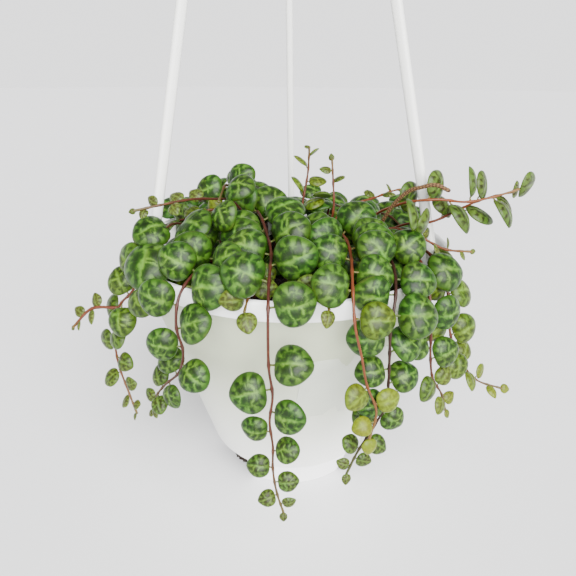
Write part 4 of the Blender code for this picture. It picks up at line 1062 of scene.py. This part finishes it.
def blades(name, leaves, kinds, rng):
    """The leaves of one stem as closed pads. Over a turn t and a share s of the way out, a leaf's outline is
    x = start + reach (1 + cos t) / 2 and y = width sin t (1 - 0.1 cos t), with a small point at the tip and
    a notch at the root. Its face rises as dome (1 - s^2.3)^0.6 with the midrib let in, its underside bellies
    a little, and each leaf is bent along and folded across by an amount of its own."""
    root, axis, normal, length, youth, lime, number = (
        np.array(part, float)[:, None, None] for part in [*zip(*leaves), *zip(*kinds)])
    count = len(leaves)
    around, top_rings = SMALL_LEAF_GRID if length.max() < SMALL_LEAF else LEAF_GRID
    turn = turns(around)
    cos, sin = np.cos(turn), np.sin(turn)
    share = np.sin(np.pi / 2 * np.arange(1, top_rings + 1) / top_rings)
    share = np.concatenate([share, UNDERSIDE])[:, None]
    top = (np.arange(len(share)) < top_rings)[:, None]
    wide, bend, fold, wave = (rng.uniform(low, high, (count, 1, 1)) for low, high in
                              ((0.94, 1.05), (-0.04, 0.07), (-0.04, 0.06), (0, 6.3)))
    start = 0.09 * length
    reach = LEAF_TIP * length - start
    middle = start + reach / 2
    out_x = reach * cos / 2 + ROOT_NOTCH * length * np.exp(-((turn - np.pi) / 0.4) ** 2)
    out_x = out_x + (0.02 + 0.07 * youth) * length * np.clip(cos, 0, 1) ** 10
    out_y = 0.5 * wide * (1 - 0.14 * youth) * length * sin * (1 - LEAF_WIDE_END * cos)
    ripple = 1 + 0.012 * np.sin(3 * turn + wave) + 0.008 * np.sin(5 * turn - 2 * wave)
    far_x, far_y = share * cos, share * sin
    dome = LEAF_DOME * (1 - 0.25 * youth)
    face = dome * (1 - share ** 2.3) ** 0.6 - MIDRIB * np.exp(-(far_y / 0.10) ** 2) * (1 - share ** 2)
    lift = np.where(top, face, -BELLY * np.sqrt(1 - share ** 2))
    z = length * (lift - bend * far_x ** 2 + fold * np.abs(far_y))

    def settle(x, y, z):
        return root + x[..., None] * axis + y[..., None] * np.cross(normal, axis) + z[..., None] * normal

    rings = settle(middle + share * ripple * out_x, share * ripple * out_y, z)
    first, last = (settle(middle, 0 * middle, length * end) for end in (dome - MIDRIB, -BELLY + 0 * youth))

    def per_point(*values):
        return np.stack([np.broadcast_to(value, z.shape) for value in values], -1).reshape(count, -1, 3)

    ends = np.concatenate([0 * number, 0 * number, number], -1)
    upper, lower = (np.concatenate([youth, under + 0 * youth, lime], -1) for under in (0.0, 1.0))
    return shells(name, first, rings, last, LEAF, {
        "leaf_place": np.concatenate([ends, per_point(far_x, far_y, number), ends], axis=1),
        "leaf_kind": np.concatenate([upper, per_point(youth, np.where(top, 0, 1), lime), lower], axis=1)})


def stalks(name, leaves, tone):
    """The leaves' short stalks: thin rods from within the stem to under each leaf, sagged as a parabola."""
    root, axis, normal, length = (np.array(part)[:, None] for part in zip(*leaves))
    length = length[..., None]
    across = np.cross(normal, axis)
    share = np.linspace(0, 1, 5)[None, :, None]
    path = root + share * STALK_REACH * length * axis - 0.03 * length * (1 - (2 * share - 1) ** 2) * normal
    path = path + 0.02 * length * share * normal
    turn = turns(STALK_SIDES)[:, None]
    out = across[:, :, None] * np.cos(turn) + normal[:, :, None] * np.sin(turn)
    thick = (0.12 + 0.016 * length) * np.array([1.2, 1.0, 0.9, 1.0, 0.8])[None, :, None]
    rings = path[:, :, None] + out * thick[..., None]
    value = np.zeros((len(leaves), 5 * STALK_SIDES + 2, 3)) + np.array([0.9 * tone, 0.45, 0])
    return shells(name, path[:, 0], rings, path[:, -1], STEM, {"stem_tone": value})


def stem_rod(name, route, leaves, tone):
    """A stem: a round rod along its smooth route, thinner toward the tip, a little swollen at each leaf."""
    path = smooth_route(route, ROD_STEP)
    run = path_run(path)
    share = run / run[-1]
    radii = ROD_RADIUS - ROD_TAPER * share
    for leaf in leaves:
        radii += ROD_SWELLING * np.exp(-np.linalg.norm(path - leaf[0], axis=1) ** 2)
    share = np.pad(share, END_RINGS, mode="edge")
    tones = np.stack([tone + 0.05 * share, 0.3 * share ** 12, 0 * share], -1)
    tones = np.vstack([tones[:1], np.repeat(tones, ROD_SIDES, axis=0), tones[-1:]])
    return rod(name, path, radii, ROD_SIDES, 0.3, STEM, {"stem_tone": tones})


def make_plant():
    """Each node's leaves and stems, in place of its coarse solid."""
    rng = np.random.default_rng(LOOK_SEED)
    nodes = {}
    number = 0
    for node, (tone, lime_from, lime_to, young), route, leaves in place_leaves():
        kinds = []
        for k, (_, _, _, length) in enumerate(leaves):
            share = k / max(1, len(leaves) - 1)
            youth = np.clip((YOUNG_LENGTH - length) / 5.5 + young, 0, 1)
            lime = lime_from + (lime_to - lime_from) * np.clip(2.5 * share - 1.4, 0, 1)
            kinds.append((youth, lime, 3.7 * number))
            number += 1
        leaf_pieces, stem_pieces = nodes.setdefault(node, ([], []))
        leaf_pieces.append(blades("leaves", leaves, kinds, rng))
        stem_pieces += [stem_rod("rod", route, leaves, tone), stalks("stalks", leaves, tone)]
    for node, (leaf_pieces, stem_pieces) in nodes.items():
        dress(merged(f"blades_{node}", leaf_pieces), "leaf", node)
        dress(merged(f"stalk_{node}", stem_pieces), "leaf", node)


def make_spike():
    """The flower spike: a round rod whose outer part swells into buds, by a sine over its length times a
    sine over three times the turn."""
    route = smooth_route(SPIKE_ROUTE, SPIKE_STEP)
    run = path_run(route)
    budded = np.clip((run - SPIKE_BARE) / 3, 0, 1)
    radii = SPIKE_RADIUS - 0.15 + 0.05 * budded
    run, budded = (np.pad(value, END_RINGS, mode="edge")[:, None] for value in (run, budded))
    rows = np.abs(np.sin(run * np.pi / BUD_LENGTH))
    bump = budded * rows * np.abs(np.sin(3 * turns(SPIKE_SIDES) + run * 1.7))
    height = np.zeros((bump.size + 2, 3))
    height[1:-1, 0] = bump.ravel()
    spike = rod("budded_spike", route, radii, SPIKE_SIDES, 0.4, SPIKE, {"bud_height": height}, 0.35 * bump)
    dress(spike, "flower_spike", "flower_spike")


def make_stage():
    """A wide pale sheet for the floor."""
    mesh = bpy.data.meshes.new("paper_floor")
    edge = round_points(FLOOR_RADIUS, turns(64), -0.05)
    mesh.from_pydata((edge * MM).tolist(), [], [list(range(64))])
    mesh.materials.append(PAPER)
    linked("paper_floor", mesh)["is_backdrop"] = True


def make_light():
    """A room that is brightest low all round, and one very broad light from above the front."""
    world = bpy.data.worlds.new("studio")
    bpy.context.scene.world = world
    world.use_nodes = True
    node = partial(add_node, world.node_tree)
    height = node("SeparateXYZ", node("TexCoord").outputs["Generated"]).outputs["Z"]
    room = world.node_tree.nodes["Background"].inputs
    feed(room["Color"], node("ValToRGB", height, stops=ROOM))
    feed(room["Strength"], ROOM_STRENGTH)
    lamp = bpy.data.lights.new("broad_light", "SUN")
    lamp.energy, lamp.angle = LIGHT_POWER, math.radians(LIGHT_SPREAD)
    turn = Vector(LIGHT_FROM).to_track_quat("Z", "Y")
    linked("broad_light", lamp).matrix_world = turn.to_matrix().to_4x4()


def make_camera():
    """The photograph's view: from the front, above, close by."""
    data = bpy.data.cameras.new("camera")
    data.sensor_fit, data.sensor_width = "HORIZONTAL", SENSOR_WIDTH
    data.lens = SENSOR_WIDTH * FOCAL_PIXELS / PHOTO_PIXELS
    data.clip_start = 0.01
    pitch, roll = (Matrix.Rotation(math.radians(angle), 4, axis)
                   for angle, axis in ((90 - CAMERA_PITCH, "X"), (CAMERA_ROLL, "Z")))
    turn = pitch @ roll
    place = Vector(CAMERA_AIM) + turn @ Vector((0, 0, CAMERA_DISTANCE))
    camera = linked("camera", data)
    camera.matrix_world = Matrix.Translation(place * MM) @ turn
    bpy.context.scene.camera = camera


def main():
    make_camera()
    make_light()
    make_stage()
    make_pot()
    make_label()
    for name, azimuth in ARM_AZIMUTHS.items():
        make_arm(name, azimuth)
    make_hook()
    make_soil()
    make_plant()
    make_spike()
    [[list(map(float, corner)) for corner in box] for box in (CAD_BOX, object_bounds())]


main()
